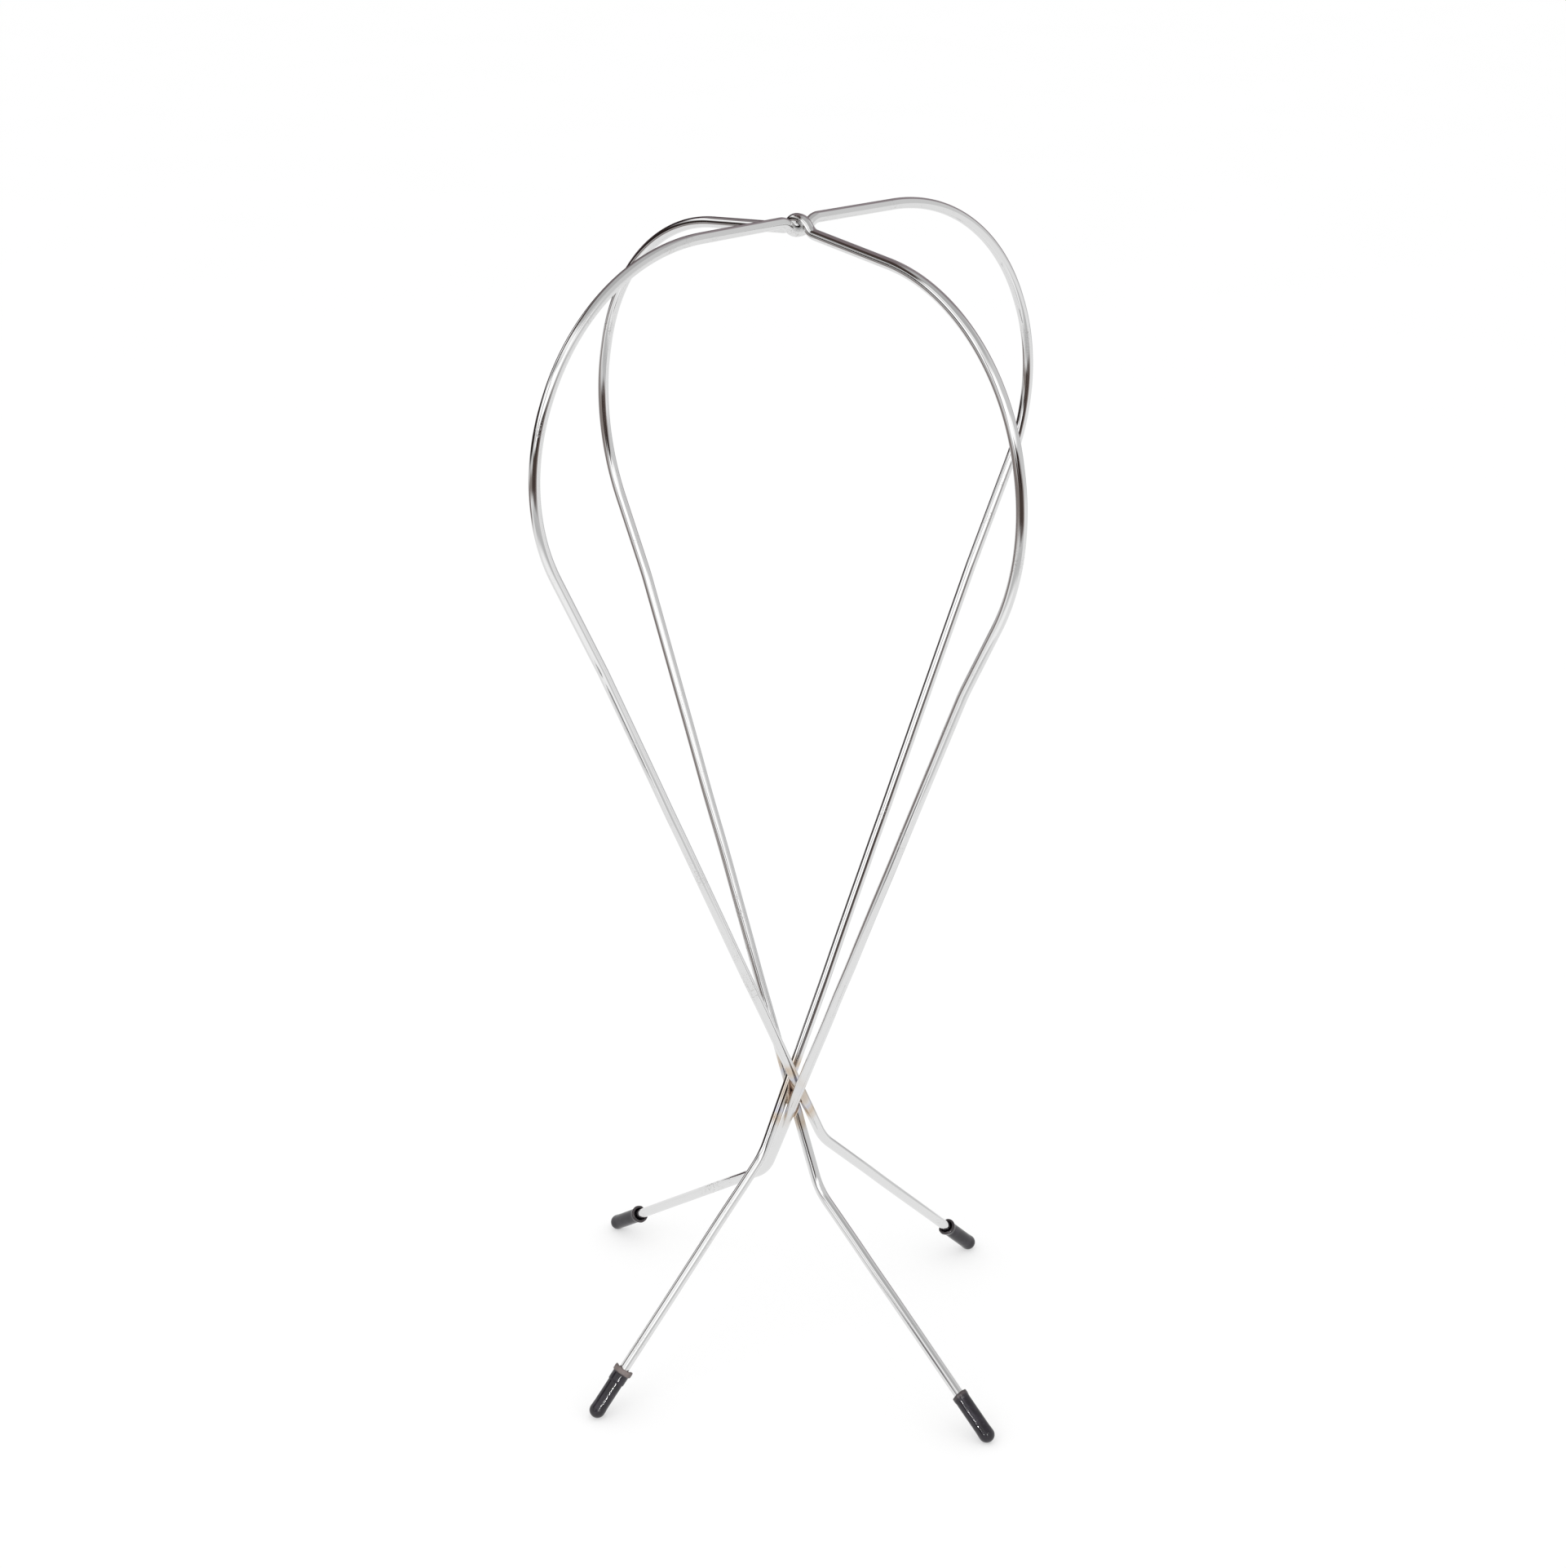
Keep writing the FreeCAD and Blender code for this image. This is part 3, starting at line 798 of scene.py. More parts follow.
@dataclass
class SweepTree:
    """Geometry Nodes tree that sweeps a round wire along an edge path."""

    name: str = "sweep_wire"
    sides: int = 36
    sockets: dict[str, str] = field(default_factory=dict)

    def build(self) -> NodeTree:
        """Builds the tree and keeps each input's identifier in sockets.

        Returns:
            The node tree.
        """
        tree = bpy.data.node_groups.new(self.name, "GeometryNodeTree")
        face = tree.interface
        face.new_socket("Geometry", in_out="INPUT", socket_type="NodeSocketGeometry")
        for label, kind in (("Diameter", "Float"), ("Sides", "Int"), ("Wander", "Float"),
                            ("Wander Length", "Float"), ("Seed", "Float"), ("Finish", "Material")):
            socket = face.new_socket(label, in_out="INPUT", socket_type=f"NodeSocket{kind}")
            self.sockets[label] = socket.identifier
        face.new_socket("Geometry", in_out="OUTPUT", socket_type="NodeSocketGeometry")
        nodes = Nodes(tree)
        group = nodes.add("NodeGroupInput").outputs
        curve = nodes.add("GeometryNodeMeshToCurve", {"Mesh": self.wandering(nodes, group)}).outputs[0]
        along = nodes.add("GeometryNodeSplineParameter").outputs["Length"]
        ring = nodes.add("GeometryNodeCurvePrimitiveCircle", {
            "Resolution": group["Sides"], "Radius": nodes.maths("MULTIPLY", group["Diameter"], 0.5)})
        spoke = nodes.vector("NORMALIZE", nodes.add("GeometryNodeInputPosition").outputs[0])
        tube = nodes.add("GeometryNodeCurveToMesh", {
            "Curve": self.kept(nodes, curve, "along", along, "FLOAT"),
            "Profile Curve": self.kept(nodes, ring.outputs[0], "around", spoke, "FLOAT_VECTOR"),
            "Fill Caps": True})
        smooth = nodes.add("GeometryNodeSetShadeSmooth", {"Geometry": tube.outputs[0]})
        whole = nodes.add("GeometryNodeRealizeInstances", {"Geometry": smooth.outputs[0]})
        dressed = nodes.add("GeometryNodeSetMaterial", {
            "Geometry": whole.outputs[0], "Material": group["Finish"]})
        nodes.add("NodeGroupOutput", {0: dressed.outputs[0]})
        return tree

    def kept(self, nodes: Nodes, shape: NodeSocket, name: str, value: NodeSocket, kind: str) -> NodeSocket:
        """The shape, with a value kept at each point in a named attribute."""
        return nodes.add("GeometryNodeStoreNamedAttribute", {
            "Geometry": shape, "Name": name, "Value": value}, data_type=kind, domain="POINT").outputs[0]

    def wandering(self, nodes: Nodes, group: bpy.types.NodeOutputs) -> NodeSocket:
        """Moves the path's points a little, where their freedom allows, as a hand-straightened wire.

        Args:
            nodes: The sweep's tree.
            group: The sweep's inputs.

        Returns:
            The path.
        """
        spot = nodes.add("GeometryNodeInputPosition").outputs[0]
        scale = nodes.maths("DIVIDE", 1.0, group["Wander Length"])
        drift = nodes.add("ShaderNodeTexNoise", {
            "Vector": spot, "W": group["Seed"], "Scale": scale, "Detail": 1.0}, noise_dimensions="4D")
        centred = nodes.vector("SUBTRACT", drift.outputs["Color"], (0.5, 0.5, 0.5))
        freedom = nodes.add("GeometryNodeInputNamedAttribute", {"Name": "freedom"}, data_type="FLOAT")
        reach = nodes.maths("MULTIPLY", freedom.outputs["Attribute"], group["Wander"])
        offset = nodes.add("ShaderNodeVectorMath", {0: centred, "Scale": reach}, operation="SCALE")
        return nodes.add("GeometryNodeSetPosition", {
            "Geometry": group["Geometry"], "Offset": offset.outputs[0]}).outputs[0]


@dataclass
class BentWire:
    """One plated wire, from foot to foot over the knot. Sizes are in millimetres."""

    frame: Frame
    seed: float
    wander: float = 1.6
    wander_length: float = 95.0
    held_near_joint: float = 45.0
    held_near_foot: float = 60.0
    cool_half_tint: float = 1.0

    @property
    def node(self) -> str:
        """Name of the frame's node that this piece stands for."""
        return f"{self.frame.value}_frame_wire"

    def path(self) -> list[Vector]:
        """Centre-line points from the one foot over the knot to the other."""
        first, second = [HalfWire(self.frame, opposite).points() for opposite in (False, True)]
        return first[::-1] + second[1:]

    def freedom(self, point: Vector) -> float:
        """Says how far a point of the straight strands and legs may wander.

        Args:
            point: The point, in metres.

        Returns:
            A share from 0 to 1.
        """
        bends = BENDS[self.frame]
        reach = Vector((point.x, point.y, 0)).length / MM
        height = point.z / MM
        lobe = CROSSING.knot_height - bends.bulge_drop - bends.bulge_radius / 2
        joint = (point - CROSSING.centre).length / MM - self.held_near_joint
        foot = bends.foot_reach - reach if height < CROSSING.narrow_height else height
        room = min(joint, foot - self.held_near_foot, lobe - height)
        return min(1.0, max(0.0, room / self.held_near_foot))

    def build(self, sweep: SweepTree, tree: NodeTree) -> Object:
        """Sweeps the wire and dresses it.

        Args:
            sweep: The sweep's named inputs.
            tree: The sweep's node tree.

        Returns:
            The plain mesh object, riding on the stand's body.
        """
        points = self.path()
        mesh = bpy.data.meshes.new(f"{self.frame.value}_path")
        mesh.from_pydata(points, [(index, index + 1) for index in range(len(points) - 1)], [])
        store(mesh, "freedom", [self.freedom(point) for point in points])
        middle = len(points) // 2
        store(mesh, "tint", [self.cool_half_tint] * middle + [1.0] * (len(points) - middle))
        holder = new_object(f"{self.frame.value}_path", mesh)
        modifier = holder.modifiers.new("sweep", "NODES")
        modifier.node_group = tree
        inputs = {
            "Diameter": CROSSING.wire_diameter * MM, "Sides": sweep.sides, "Wander": self.wander * MM,
            "Wander Length": self.wander_length * MM, "Seed": self.seed, "Finish": STEEL.material()}
        for label, value in inputs.items():
            modifier[sweep.sockets[label]] = value
        piece = baked(holder, f"{self.frame.value}_plated_wire")
        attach(piece, BODY)
        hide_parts(self.node)
        return piece


@dataclass
class BrazeJoint:
    """Filler drawn by heat into the creases between the four strands. Sizes are in millimetres."""

    reach: float = 30.0
    bar_inset: float = 0.12
    bar_sides: int = 32
    plug_radius: float = 5.6
    plug_reach: float = 19.0
    plug_taper: tuple[float, float] = (0.3, 0.7)
    voxel: float = 0.55
    smoothing: int = 26
    smoothing_factor: float = 0.5
    lump_size: float = 3.0
    lump_height: float = 0.25
    full_depth: float = 2.2
    straight_margin: float = 12.0

    def strands(self) -> list[tuple[Vector, Vector]]:
        """Finds the four strands where they pass the crossing.

        Returns:
            Point at the crossing and unit direction of each strand.
        """
        found = []
        for wire in Frame:
            for opposite in (False, True):
                low, high = self.straight(HalfWire(wire, opposite))
                spot = (BENDS[wire].crossing_height * MM - low.z) / (high.z - low.z)
                found.append((low.lerp(high, spot), (high - low).normalized()))
        return found

    def straight(self, half: HalfWire) -> tuple[Vector, Vector]:
        """Takes two points of a half's straight strand.

        Args:
            half: The half wire.

        Returns:
            A point below the crossing and a point above it.
        """
        rising = half.points()[::-1]
        level, margin = half.bends.crossing_height * MM, self.straight_margin * MM
        low = next(point for point in rising if level - margin < point.z < level)
        high = next(point for point in rising if point.z > level + margin)
        return low, high

    def bar(self, point: Vector, direction: Vector) -> Shell:
        """Makes a closed round bar along a strand, a little slimmer than the wire.

        Args:
            point: The strand's point at the crossing.
            direction: The strand's unit direction.

        Returns:
            The bar's vertices and faces.
        """
        radius = (CROSSING.wire_radius - self.bar_inset) * MM
        half = direction * self.reach * MM
        return tube_between(point - half, point + half, [(0.0, radius), (1.0, radius)], self.bar_sides)

    def plug(self) -> Shell:
        """Makes the filler in the middle of the crossing, tapered at both ends.

        Returns:
            The plug's vertices and faces.
        """
        radius = self.plug_radius * MM
        half = Vector((0, 0, self.plug_reach * MM))
        rings = [(0.0, radius / 2), *((share, radius) for share in self.plug_taper), (1.0, radius / 2)]
        return tube_between(CROSSING.centre - half, CROSSING.centre + half, rings, self.bar_sides)

    def build(self) -> Object:
        """Melts bars and plug into one skin whose creases are filled, and dresses it.

        Returns:
            The plain mesh object, riding on the stand's body.
        """
        strands = self.strands()
        shells = [self.bar(point, direction) for point, direction in strands] + [self.plug()]
        source = new_object("braze_melt", merged_mesh("braze_melt", shells))
        remesh = source.modifiers.new("melt", "REMESH")
        remesh.mode = "VOXEL"
        remesh.voxel_size = self.voxel * MM
        flow = source.modifiers.new("flow", "SMOOTH")
        flow.factor = self.smoothing_factor
        flow.iterations = self.smoothing
        piece = baked(source, "crossing_braze_fillet")
        self.mark_creases(piece.data, strands)
        piece.data.shade_smooth()
        piece.data.materials.append(BRAZE.material())
        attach(piece, BODY)
        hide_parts("crossing_braze")
        return piece

    def mark_creases(self, mesh: Mesh, strands: list[tuple[Vector, Vector]]) -> None:
        """Roughens the filler and stores how deep between two strands each vertex lies.

        Args:
            mesh: The braze.
            strands: Point and unit direction of each strand.
        """
        depths, places = [], []
        for vertex in mesh.vertices:
            gaps = []
            for point, direction in strands:
                arm = vertex.co - point
                gaps.append((arm - direction * arm.dot(direction)).length / MM - CROSSING.wire_radius)
            depths.append(min(1.0, max(0.0, min(gaps) / self.full_depth)))
            lump = noise.noise(vertex.co / (self.lump_size * MM)) * self.lump_height * depths[-1]
            places.extend(vertex.co + vertex.normal * lump * MM)
        mesh.vertices.foreach_set("co", places)
        # Crease depth drives the braze's oxidised brown and its painted crease shade.
        store(mesh, "crease", depths)


@dataclass
class FootCap:
    """One push-on rubber cap, with the wear of its own foot. Sizes are in millimetres.

    Heights run from the tip's centre up the leg. The lip's profile goes from the outside over the top to
    the inside: share of its wall inwards, share of its wall down, and how dusty it is.
    """

    node: str
    frame: Frame
    opposite: bool
    lip_radius: float = 8.0
    lip_tilt: float = 0.0
    lip_lobes: float = 0.0
    lip_facing: float = 0.0
    step_height: float = 0.0
    seed: float = 0.0
    length: float = 41.0
    wall: float = 2.2
    fit: float = 0.05
    tip_radius: float = 7.0
    neck: float = 7.0
    lip_band: float = 3.0
    lip_flare: float = 3.0
    lip_wall: float = 1.1
    lip_profile: tuple[tuple[float, float, float], ...] = (
        (0.12, 0.3, 1.0), (0.5, 0.0, 1.0), (0.9, 0.25, 0.7), (1.0, 0.8, 0.2))
    crown_drop: float = 0.7
    mouth_depth: float = 4.0
    mouth_chamfer: float = 0.3
    seat_chamfer: float = 0.4
    step_rise: float = 0.7
    step_blend: float = 0.6
    wear_reach: float = 9.0
    wear_blend: float = 8.0
    ripple_pitch: float = 2.2
    ripple_lift: float = 0.7
    curl_spread: float = 0.2
    ripple_spread: float = 0.3
    moulding: float = 0.03
    moulding_pitch: float = 1.3
    moulding_length: float = 9.0
    dust: float = 1.0
    dust_above: float = 0.8
    tip_rings: int = 14
    side_rings: int = 64
    sides: int = 72

    @property
    def bore(self) -> float:
        """Inner radius of the sleeve."""
        return CROSSING.wire_radius + self.fit

    def outer_radius(self, height: float) -> float:
        """Rounds the tip, then follows the neck, the sleeve, its step and the flare of the lip.

        Args:
            height: Height above the tip's centre.

        Returns:
            Radius of the outside.
        """
        if height < 0:
            return math.sqrt(max(0.0, self.tip_radius ** 2 - height ** 2))
        sleeve = self.bore + self.wall
        radius = self.tip_radius + (sleeve - self.tip_radius) * smooth_step(height / self.neck)
        if self.step_height:
            radius += self.step_rise * smooth_step((height - self.step_height) / self.step_blend)
        band = self.length - self.lip_band
        flare = smooth_step((height - band + self.lip_flare) / self.lip_flare)
        return radius + (self.lip_radius - radius) * flare

    def outline(self) -> list[tuple[float, float, float]]:
        """Draws half the cap's section, from the tip over the lip and down the bore.

        Returns:
            Radius, height and lip mask of each ring.
        """
        rings = []
        for step in range(1, self.tip_rings + 1):
            angle = math.pi / 2 * (step / self.tip_rings - 1)
            rings.append((self.tip_radius * math.cos(angle), self.tip_radius * math.sin(angle), 0.0))
        crown = self.length - self.crown_drop * self.lip_wall
        for step in range(1, self.side_rings + 1):
            height = crown * step / self.side_rings
            mask = smooth_step(height - self.length + self.lip_band + self.dust_above)
            rings.append((self.outer_radius(height), height, mask))
        for inwards, down, mask in self.lip_profile:
            radius, height = self.lip_radius - self.lip_wall * inwards, self.length - self.lip_wall * down
            rings.append((radius, height, mask))
        mouth = self.length - self.mouth_depth
        rings += [(self.bore + self.mouth_chamfer, mouth, 0.0), (self.bore, mouth - 1, 0.0),
                  (self.bore, self.seat_chamfer, 0.0), (self.bore - self.seat_chamfer, 0.0, 0.0)]
        return rings

    def worn(self, radius: float, height: float, mask: float, angle: float) -> tuple[float, float]:
        """Tilts, curls and ripples the lip, and wavers the moulded skin.

        Args:
            radius: Radius of a point of the outline.
            height: Its height.
            mask: Its lip mask.
            angle: Its angle round the leg.

        Returns:
            Radius and height after the wear.
        """
        facing = angle - math.radians(self.lip_facing)
        around = Vector((math.cos(angle), math.sin(angle), 0.0))
        near_lip = smooth_step((height - self.length + self.wear_reach) / self.wear_blend)
        curl = 0.5 + 0.5 * math.cos(2 * facing)
        ripple = noise.noise(around * self.ripple_pitch + Vector((0.0, 0.0, self.seed)))
        curled = self.lip_lobes * (curl + self.ripple_lift * ripple)
        lift = near_lip * (self.lip_tilt * math.cos(facing) + curled)
        spread = mask * self.lip_lobes * (self.curl_spread * curl + self.ripple_spread * ripple)
        along = Vector((0.0, 0.0, height / self.moulding_length + self.seed))
        skin = noise.noise(around * self.moulding_pitch + along) * self.moulding
        return radius + (spread + skin) * min(1.0, radius / self.bore), height + lift

    def shell(self) -> tuple[Shell, list[float]]:
        """Turns the worn outline round the leg, flattened where it stands on the floor.

        Returns:
            The cap's vertices and faces, and each vertex's share of dust.
        """
        points = HalfWire(self.frame, self.opposite).points()
        tip, axis = points[-1], (points[-2] - points[-1]).normalized()
        upper = (Vector((0, 0, 1)) - axis * axis.z).normalized()
        across = axis.cross(upper)
        outline = self.outline()
        vertices, masks = [], []
        for radius, height, mask in outline:
            for side in range(self.sides):
                angle = math.tau * side / self.sides
                wide, high = self.worn(radius, height, mask, angle)
                spoke = upper * math.cos(angle) + across * math.sin(angle)
                point = tip + (spoke * wide + axis * high) * MM
                vertices.append(Vector((point.x, point.y, max(0.0, point.z))))
                masks.append(mask * self.dust)
        faces = list(ring_faces(len(outline), self.sides))
        base = tip - axis * self.tip_radius * MM
        for centre, ring in ((Vector((base.x, base.y, max(0.0, base.z))), 0), (tip, len(outline) - 1)):
            vertices.append(centre)
            masks.append(0.0)
            for side in range(self.sides):
                pair = [ring * self.sides + side, ring * self.sides + (side + 1) % self.sides]
                faces.append([len(vertices) - 1] + (pair[::-1] if ring == 0 else pair))
        return (vertices, faces), masks

    def build(self) -> Object:
        """Makes the cap and dresses it.

        Returns:
            The plain mesh object, riding on the stand's body.
        """
        shell, masks = self.shell()
        mesh = merged_mesh(self.node, [shell])
        store(mesh, "lip", masks)
        mesh.shade_smooth()
        mesh.materials.append(RUBBER.material())
        piece = new_object(self.node.replace("foot_cap", "rubber_cap"), mesh)
        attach(piece, BODY)
        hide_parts(self.node)
        return piece


@dataclass(frozen=True)
class Surrounding:
    """One thing in the room that the plating mirrors. Angles are in degrees, headings from +X."""

    name: str
    heading: float
    spread: float
    low: float
    high: float
    tone: str
    strength: float = 1.0
    soft: float = 5.0

    def over(self, nodes: Nodes, level: NodeSocket, height: NodeSocket, behind: NodeSocket) -> NodeSocket:
        """Lays this over what stands behind it.

        Args:
            nodes: The world's tree.
            level: Level unit vector towards which the ray goes.
            height: Elevation of the ray in degrees.
            behind: Colour of the room so far.

        Returns:
            Colour of the room with this in front.
        """
        angle = math.radians(self.heading)
        faced = nodes.vector("DOT_PRODUCT", level, (math.cos(angle), math.sin(angle), 0.0))
        spread, soft = math.radians(self.spread), math.radians(self.soft)
        beside = nodes.eased(nodes.maths("ARCCOSINE", faced), spread + soft, spread - soft)
        above = nodes.eased(height, self.low - self.soft, self.low + self.soft)
        below = nodes.eased(height, self.high + self.soft, self.high - self.soft)
        inside = nodes.maths("MULTIPLY", nodes.maths("MULTIPLY", beside, above), below)
        tone = Vector(linear(self.tone)[:3]) * self.strength
        inputs = {"Factor": inside, 6: behind, 7: (*tone, 1.0)}
        return nodes.add("ShaderNodeMix", inputs, data_type="RGBA", label=self.name).outputs[2]


ROOM = (
    Surrounding("near_paper", -110.0, 58.0, -95.0, -43.0, "#ffffff", 1.06, 4.0),
    Surrounding("upper_room", 0.0, 200.0, -6.0, 95.0, "#dadada"),
    Surrounding("ceiling", 0.0, 200.0, 55.0, 95.0, "#bdbdbd", soft=6.0),
    Surrounding("back_right_wall", 72.0, 26.0, -8.0, 64.0, "#958b8f", soft=9.0),
    Surrounding("back_right_low", 50.0, 12.0, -15.0, -3.0, "#c4c4c6"),
    Surrounding("back_wall", 118.0, 28.0, -9.0, 34.0, "#65585c", soft=7.0),
    Surrounding("back_wall_top", 124.0, 30.0, 33.0, 62.0, "#82777a", soft=6.0),
    Surrounding("back_doorway", 121.0, 16.0, 6.0, 23.0, "#1d1718", soft=4.0),
    Surrounding("back_left_wall", 160.0, 24.0, -9.0, 15.0, "#2c2321", soft=4.0),
    Surrounding("back_left_low", 166.0, 24.0, -27.0, -12.0, "#857c7a", soft=4.0),
    Surrounding("back_left_top", 170.0, 24.0, 32.0, 58.0, "#473b37"),
    Surrounding("back_left_window", 150.0, 13.0, 23.0, 31.0, "#ffffff", 1.4, 2.5),
    Surrounding("left_dark", -178.0, 21.0, -3.0, 15.0, "#2e2522", soft=4.0),
    Surrounding("left_low", -150.0, 22.0, -18.0, -7.0, "#8a817c", soft=4.0),
    Surrounding("softbox_left", -146.0, 21.0, 11.0, 30.0, "#ffffff", 1.35, 3.5),
    Surrounding("left_dark_top", -176.0, 9.0, 26.0, 37.0, "#2e2523", soft=3.0),
    Surrounding("softbox", -100.0, 36.0, 3.0, 36.0, "#ffffff", 1.35, 3.0),
    Surrounding("softbox_gap", -128.0, 6.0, 5.0, 31.0, "#8a8486", soft=4.0),
    Surrounding("softbox_top", -84.0, 13.0, 36.0, 46.0, "#ffffff", 1.3, 4.0),
    Surrounding("softbox_right", -50.0, 11.0, 17.0, 29.0, "#ffffff", 1.15, 4.0),
    Surrounding("softbox_high", -135.0, 32.0, 41.0, 56.0, "#ffffff", 1.08, 4.0),
    Surrounding("dark_room_side", -58.0, 20.0, -21.0, 6.0, "#7d726f", soft=7.0),
    Surrounding("dark_room", -94.0, 34.0, -18.0, 1.0, "#4c413d", soft=3.0),
    Surrounding("dark_room_low", -84.0, 22.0, -23.0, -16.0, "#5d5350", soft=3.0),
    Surrounding("dark_room_top", -79.0, 20.0, -2.0, 12.0, "#362c29", soft=3.0),
    Surrounding("mid_paper", -86.0, 54.0, -38.0, -22.0, "#c8c8c8"),
)


@dataclass(frozen=True)
class Lamp:
    """A flat lamp, with its breadth and height in metres and its power in watts."""

    name: str
    breadth: float
    height: float
    power: float

    def hang(self, place: Vector, target: Vector) -> Object:
        """Hangs the lamp, turned to a target.

        Args:
            place: Where it hangs, in metres.
            target: The point that it faces.

        Returns:
            The lamp.
        """
        light = bpy.data.lights.new(self.name, "AREA")
        light.shape = "RECTANGLE"
        light.size, light.size_y = self.breadth, self.height
        light.energy = self.power
        holder = new_object(self.name, light)
        turn = (target - place).to_track_quat("-Z", "Y").to_matrix().to_4x4()
        holder.matrix_world = Matrix.Translation(place) @ turn
        return holder


@dataclass(frozen=True)
class Strip(Lamp):
    """A slim strip light over the caps, in the direction that its heading and elevation give."""

    heading: float
    elevation: float
    distance: float = 1.8
    target: tuple[float, float, float] = (0.0, -0.16, 0.03)

    def light_only(self, lit: bpy.types.Collection) -> None:
        """Hangs the strip so that it shows only as a glint on some pieces.

        Args:
            lit: The pieces.
        """
        heading, elevation = math.radians(self.heading), math.radians(self.elevation)
        way = Vector((math.cos(heading) * math.cos(elevation), math.sin(heading) * math.cos(elevation),
                      math.sin(elevation)))
        target = Vector(self.target)
        holder = self.hang(target + way * self.distance, target)
        holder.light_linking.receiver_collection = lit
        holder.data.cycles.use_multiple_importance_sampling = False


KEY_LAMP = Lamp("key_lamp", 2.4, 2.4, 16.0)
STRIPS = (
    Strip("main_strip", 0.16, 0.6, 11.0, -70.0, 20.0),
    Strip("left_strip", 0.08, 0.5, 3.5, -127.0, 22.0),
    Strip("high_spot_left", 0.08, 0.08, 3.0, -78.0, 45.0),
    Strip("high_spot", 0.08, 0.08, 3.0, -50.0, 45.0),
)


@dataclass(frozen=True)
class View:
    """The camera's lens and place. Lens sizes are in millimetres, places in metres, angles in degrees."""

    focal_length: float = 69.78
    sensor_height: float = 36.0
    distance: float = 2.5549
    elevation: float = 22.068
    heading: float = 3.053
    roll: float = 0.309
    target: tuple[float, float, float] = (-0.01028, 0.0, 0.53208)

    def build(self) -> None:
        """Sets the camera a little above the knot, looking down at the stand."""
        lens = bpy.data.cameras.new("studio_camera")
        lens.sensor_fit = "VERTICAL"
        lens.sensor_height = self.sensor_height
        lens.lens = self.focal_length
        elevation, roll = math.radians(self.elevation), math.radians(self.roll)
        ahead = Vector((0.0, math.cos(elevation), -math.sin(elevation)))
        right = Vector((1.0, 0.0, 0.0))
        up = right.cross(ahead)
        level = right * math.cos(roll) + up * math.sin(roll)
        plumb = up * math.cos(roll) - right * math.sin(roll)
        turn = Matrix((level, plumb, -ahead)).transposed().to_4x4()
        holder = new_object("studio_camera", lens)
        swing = Matrix.Rotation(math.radians(self.heading), 4, "Z")
        place = Matrix.Translation(Vector(self.target) - ahead * self.distance)
        holder.matrix_world = swing @ place @ turn
        bpy.context.scene.camera = holder


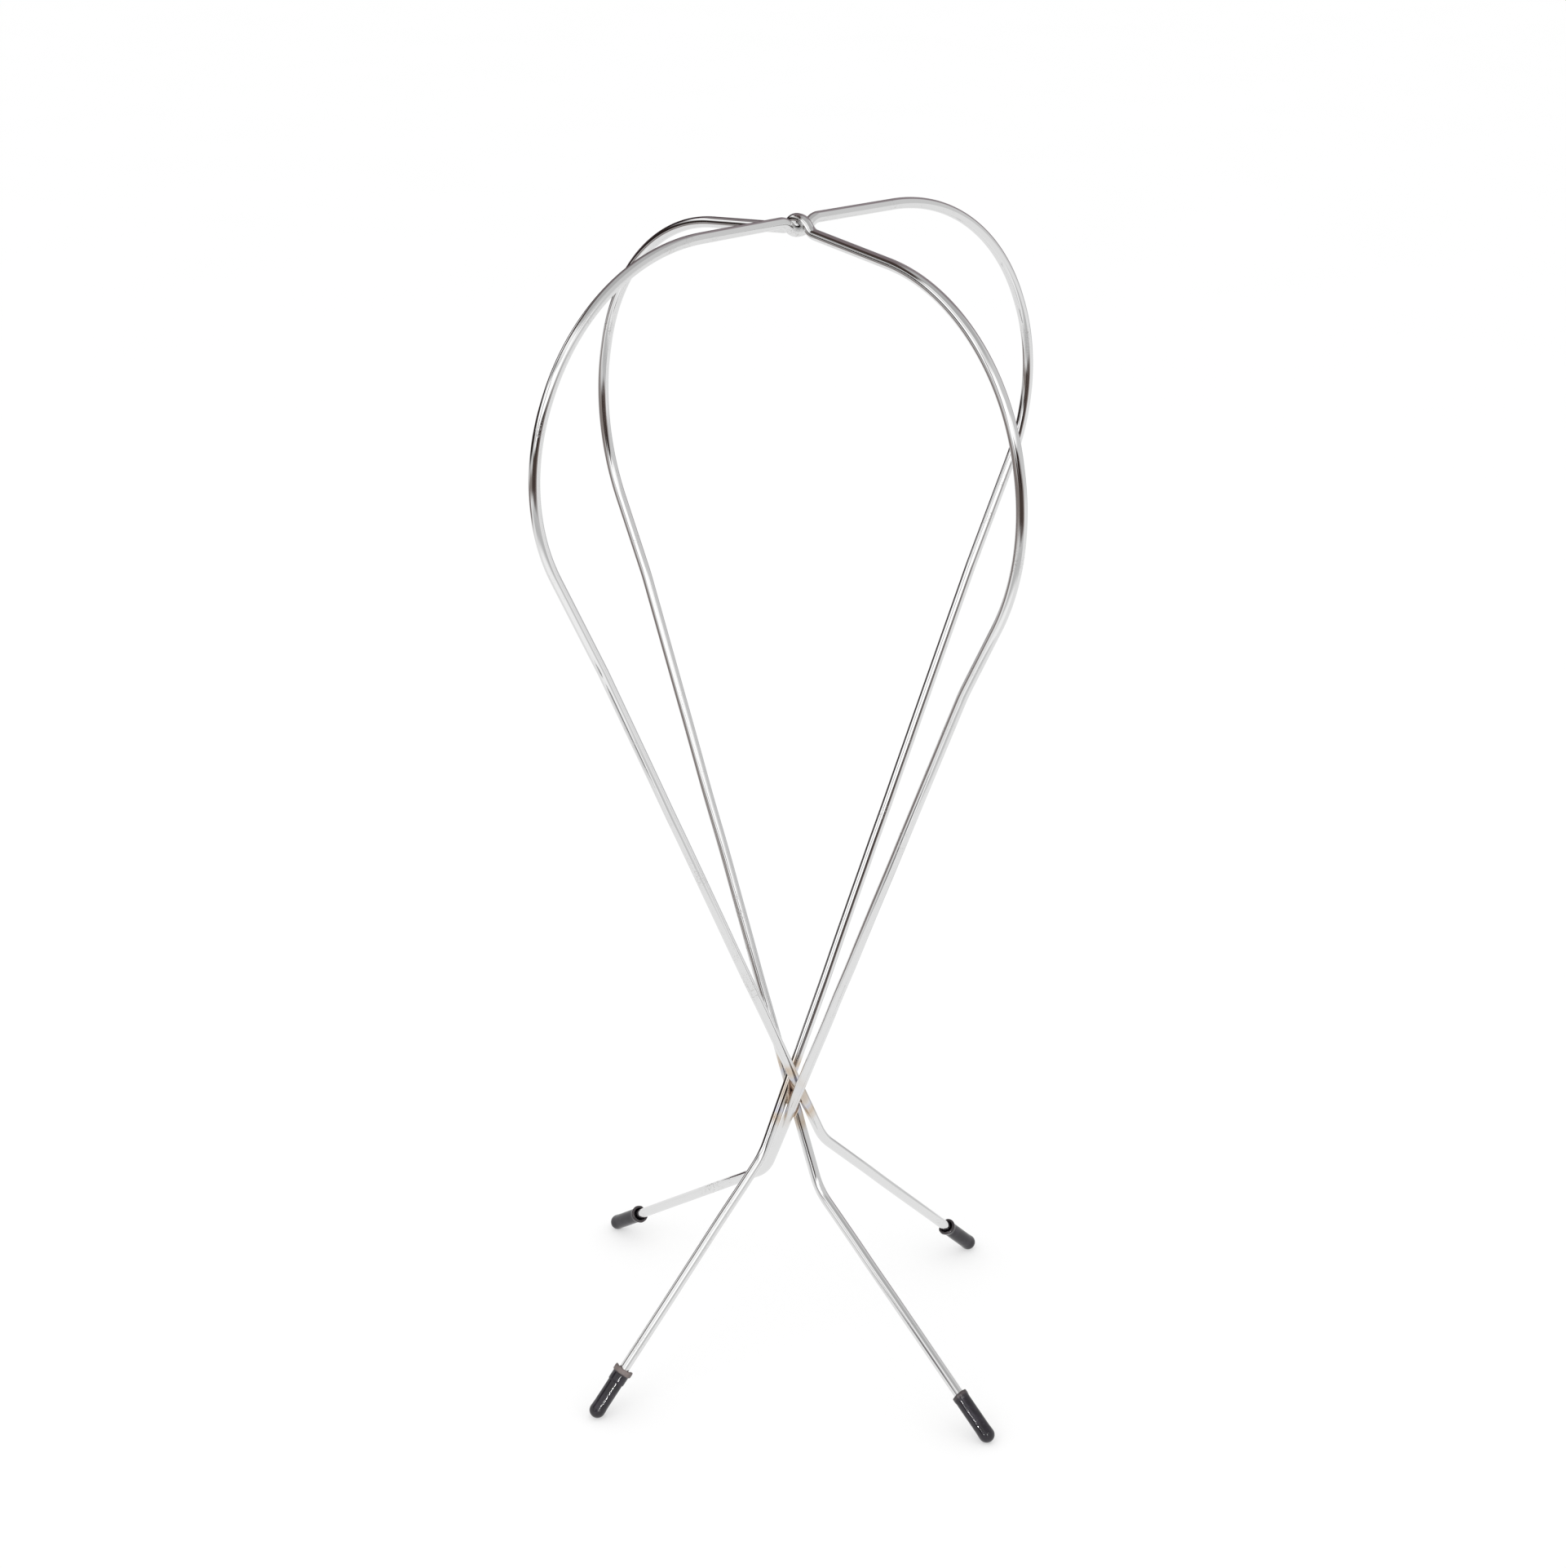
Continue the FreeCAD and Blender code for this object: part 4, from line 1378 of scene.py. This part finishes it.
@dataclass
class Studio:
    """Pale floor, soft light and the room that the plating mirrors. Lengths are in metres."""

    corners: int = 96
    floor_radius: float = 14.0
    floor_drop: float = 0.0002
    rim_radius: float = 0.48
    rim_front: float = 0.22
    rim_back: float = 0.10
    rim_drop: float = 0.0001
    key_place: tuple[float, float, float] = (-1.9, -2.6, 3.0)
    world_light: float = 1.0
    floor_tone: str = "#f4f4f4"

    def build(self) -> None:
        """Sets the floor, world, lamp, camera and view."""
        self.floor()
        self.paper_rim()
        self.world()
        KEY_LAMP.hang(Vector(self.key_place), (CAD_BOX[0] + CAD_BOX[1]) / 2).visible_glossy = False
        View().build()
        bpy.context.scene.view_settings.view_transform = "Standard"

    def ring(self, radius: float, level: float) -> list[Vector]:
        """Corners of a level ring round the stand's axis."""
        angles = [math.tau * step / self.corners for step in range(self.corners)]
        return [Vector((radius * math.cos(angle), radius * math.sin(angle), level)) for angle in angles]

    def floor(self) -> None:
        """White paper just under the feet. The room's own lower half stands for it in reflections."""
        disc = (self.ring(self.floor_radius, -self.floor_drop), [list(range(self.corners))])
        mesh = merged_mesh("paper_floor", [disc])
        mesh.materials.append(PAPER.material())
        sheet = new_object("paper_floor", mesh)
        sheet.visible_glossy = False

    def paper_rim(self) -> None:
        """Dish standing for the paper, lower at the back, that the legs mirror and the lobes look over; it
        glows with painted reflection and only glossy rays see it.
        """
        low = self.ring(self.rim_radius, -self.rim_drop)
        high = self.ring(self.rim_radius, self.rim_back)
        for spot in high:
            forward = 0.5 - 0.5 * spot.y / self.rim_radius
            spot.z += (self.rim_front - self.rim_back) * forward
        faces = [list(range(self.corners)), *ring_faces(2, self.corners)]
        mesh = merged_mesh("painted_reflection_dish", [(low + high, faces)])
        mesh.materials.append(RIM.material())
        dish = new_object("painted_reflection_dish", mesh)
        dish.visible_camera = dish.visible_diffuse = dish.visible_transmission = False
        dish.visible_shadow = dish.visible_volume_scatter = False

    def mirrored_room(self, nodes: Nodes) -> NodeSocket:
        """Lays the room's things over the floor's tone, each in its own direction.

        Args:
            nodes: The world's tree.

        Returns:
            Colour of the room, for the plating and the rubber's gloss.
        """
        ray = nodes.add("ShaderNodeTexCoord").outputs["Generated"]
        level = nodes.vector("NORMALIZE", nodes.vector("MULTIPLY", ray, (1.0, 1.0, 0.0)))
        rise = nodes.add("ShaderNodeSeparateXYZ", {0: ray}).outputs["Z"]
        height = nodes.maths("DEGREES", nodes.maths("ARCSINE", rise))
        colour = nodes.add("ShaderNodeRGB").outputs[0]
        colour.default_value = linear(self.floor_tone)
        for thing in ROOM:
            colour = thing.over(nodes, level, height, colour)
        return colour

    def world(self) -> None:
        """White surround for the camera, the room for reflections, and an even light on everything."""
        world = bpy.data.worlds.new("studio")
        bpy.context.scene.world = world
        world.cycles.sampling_method = "NONE"
        world.use_nodes = True
        nodes = Nodes(world.node_tree)
        nodes.tree.nodes.clear()
        even, seen, room = [
            nodes.add("ShaderNodeBackground", {"Color": colour, "Strength": strength}).outputs[0]
            for colour, strength in (
                (WHITE, self.world_light), (WHITE, 1.0), (self.mirrored_room(nodes), 1.0))]
        path = nodes.add("ShaderNodeLightPath").outputs
        direct = nodes.maths("MAXIMUM", path["Is Camera Ray"], path["Is Transmission Ray"])
        shown = nodes.mixed(path["Is Glossy Ray"], nodes.mixed(direct, even, seen), room)
        nodes.add("ShaderNodeOutputWorld", {"Surface": shown})

    def glints(self, caps: Iterable[Object]) -> None:
        """Hangs the strip lights, which light the rubber caps alone.

        Args:
            caps: The rubber caps.
        """
        lit = bpy.data.collections.new("glinting_rubber")
        for cap in caps:
            lit.objects.link(cap)
        for strip in STRIPS:
            strip.light_only(lit)


@dataclass
class ValetStand:
    """The whole stand, piece by piece."""

    caps: tuple[FootCap, ...] = (
        FootCap("front_left_foot_cap", Frame.WIDE, False, lip_radius=8.2, lip_tilt=-0.3, lip_lobes=1.4,
                lip_facing=142.0, lip_band=4.5, lip_flare=0.8, lip_wall=2.0, step_height=28.0, seed=1.7),
        FootCap("back_right_foot_cap", Frame.WIDE, True, lip_radius=8.0, lip_tilt=0.8, lip_lobes=0.7,
                lip_facing=180.0, lip_band=1.5, lip_flare=4.5, lip_wall=2.6, dust=0.15, seed=5.2),
        FootCap("back_left_foot_cap", Frame.NARROW, False, lip_radius=8.2, lip_tilt=-0.5, lip_lobes=0.8,
                lip_facing=0.0, lip_band=1.5, lip_flare=4.5, lip_wall=2.6, dust=0.2, seed=8.9),
        FootCap("front_right_foot_cap", Frame.NARROW, True, lip_radius=7.1, lip_tilt=0.5, lip_lobes=0.4,
                lip_facing=20.0, dust=0.25, seed=12.4),
    )

    def build(self) -> list[Object]:
        """Builds every piece in the order that a maker would join them.

        Returns:
            The pieces.
        """
        sweep = SweepTree()
        tree = sweep.build()
        made = [BentWire(Frame.WIDE, seed=3.0).build(sweep, tree),
                BentWire(Frame.NARROW, seed=11.0, cool_half_tint=0.25).build(sweep, tree),
                BrazeJoint().build()]
        made.extend(cap.build() for cap in self.caps)
        return made


def write_sizes() -> None:
    """Updates the view layer."""
    bpy.context.view_layer.update()


def main() -> None:
    """Builds the stand and its studio, and reports each piece."""
    logging.basicConfig(level=logging.INFO, format="%(name)s: %(message)s")
    pieces = ValetStand().build()
    for piece in pieces:
        mesh = piece.data
        LOG.info("%s: %d vertices, %d faces", piece.name, len(mesh.vertices), len(mesh.polygons))
    studio = Studio()
    studio.build()
    studio.glints(piece for piece in pieces if piece.name.endswith("rubber_cap"))
    write_sizes()


if __name__ == "__main__":
    main()
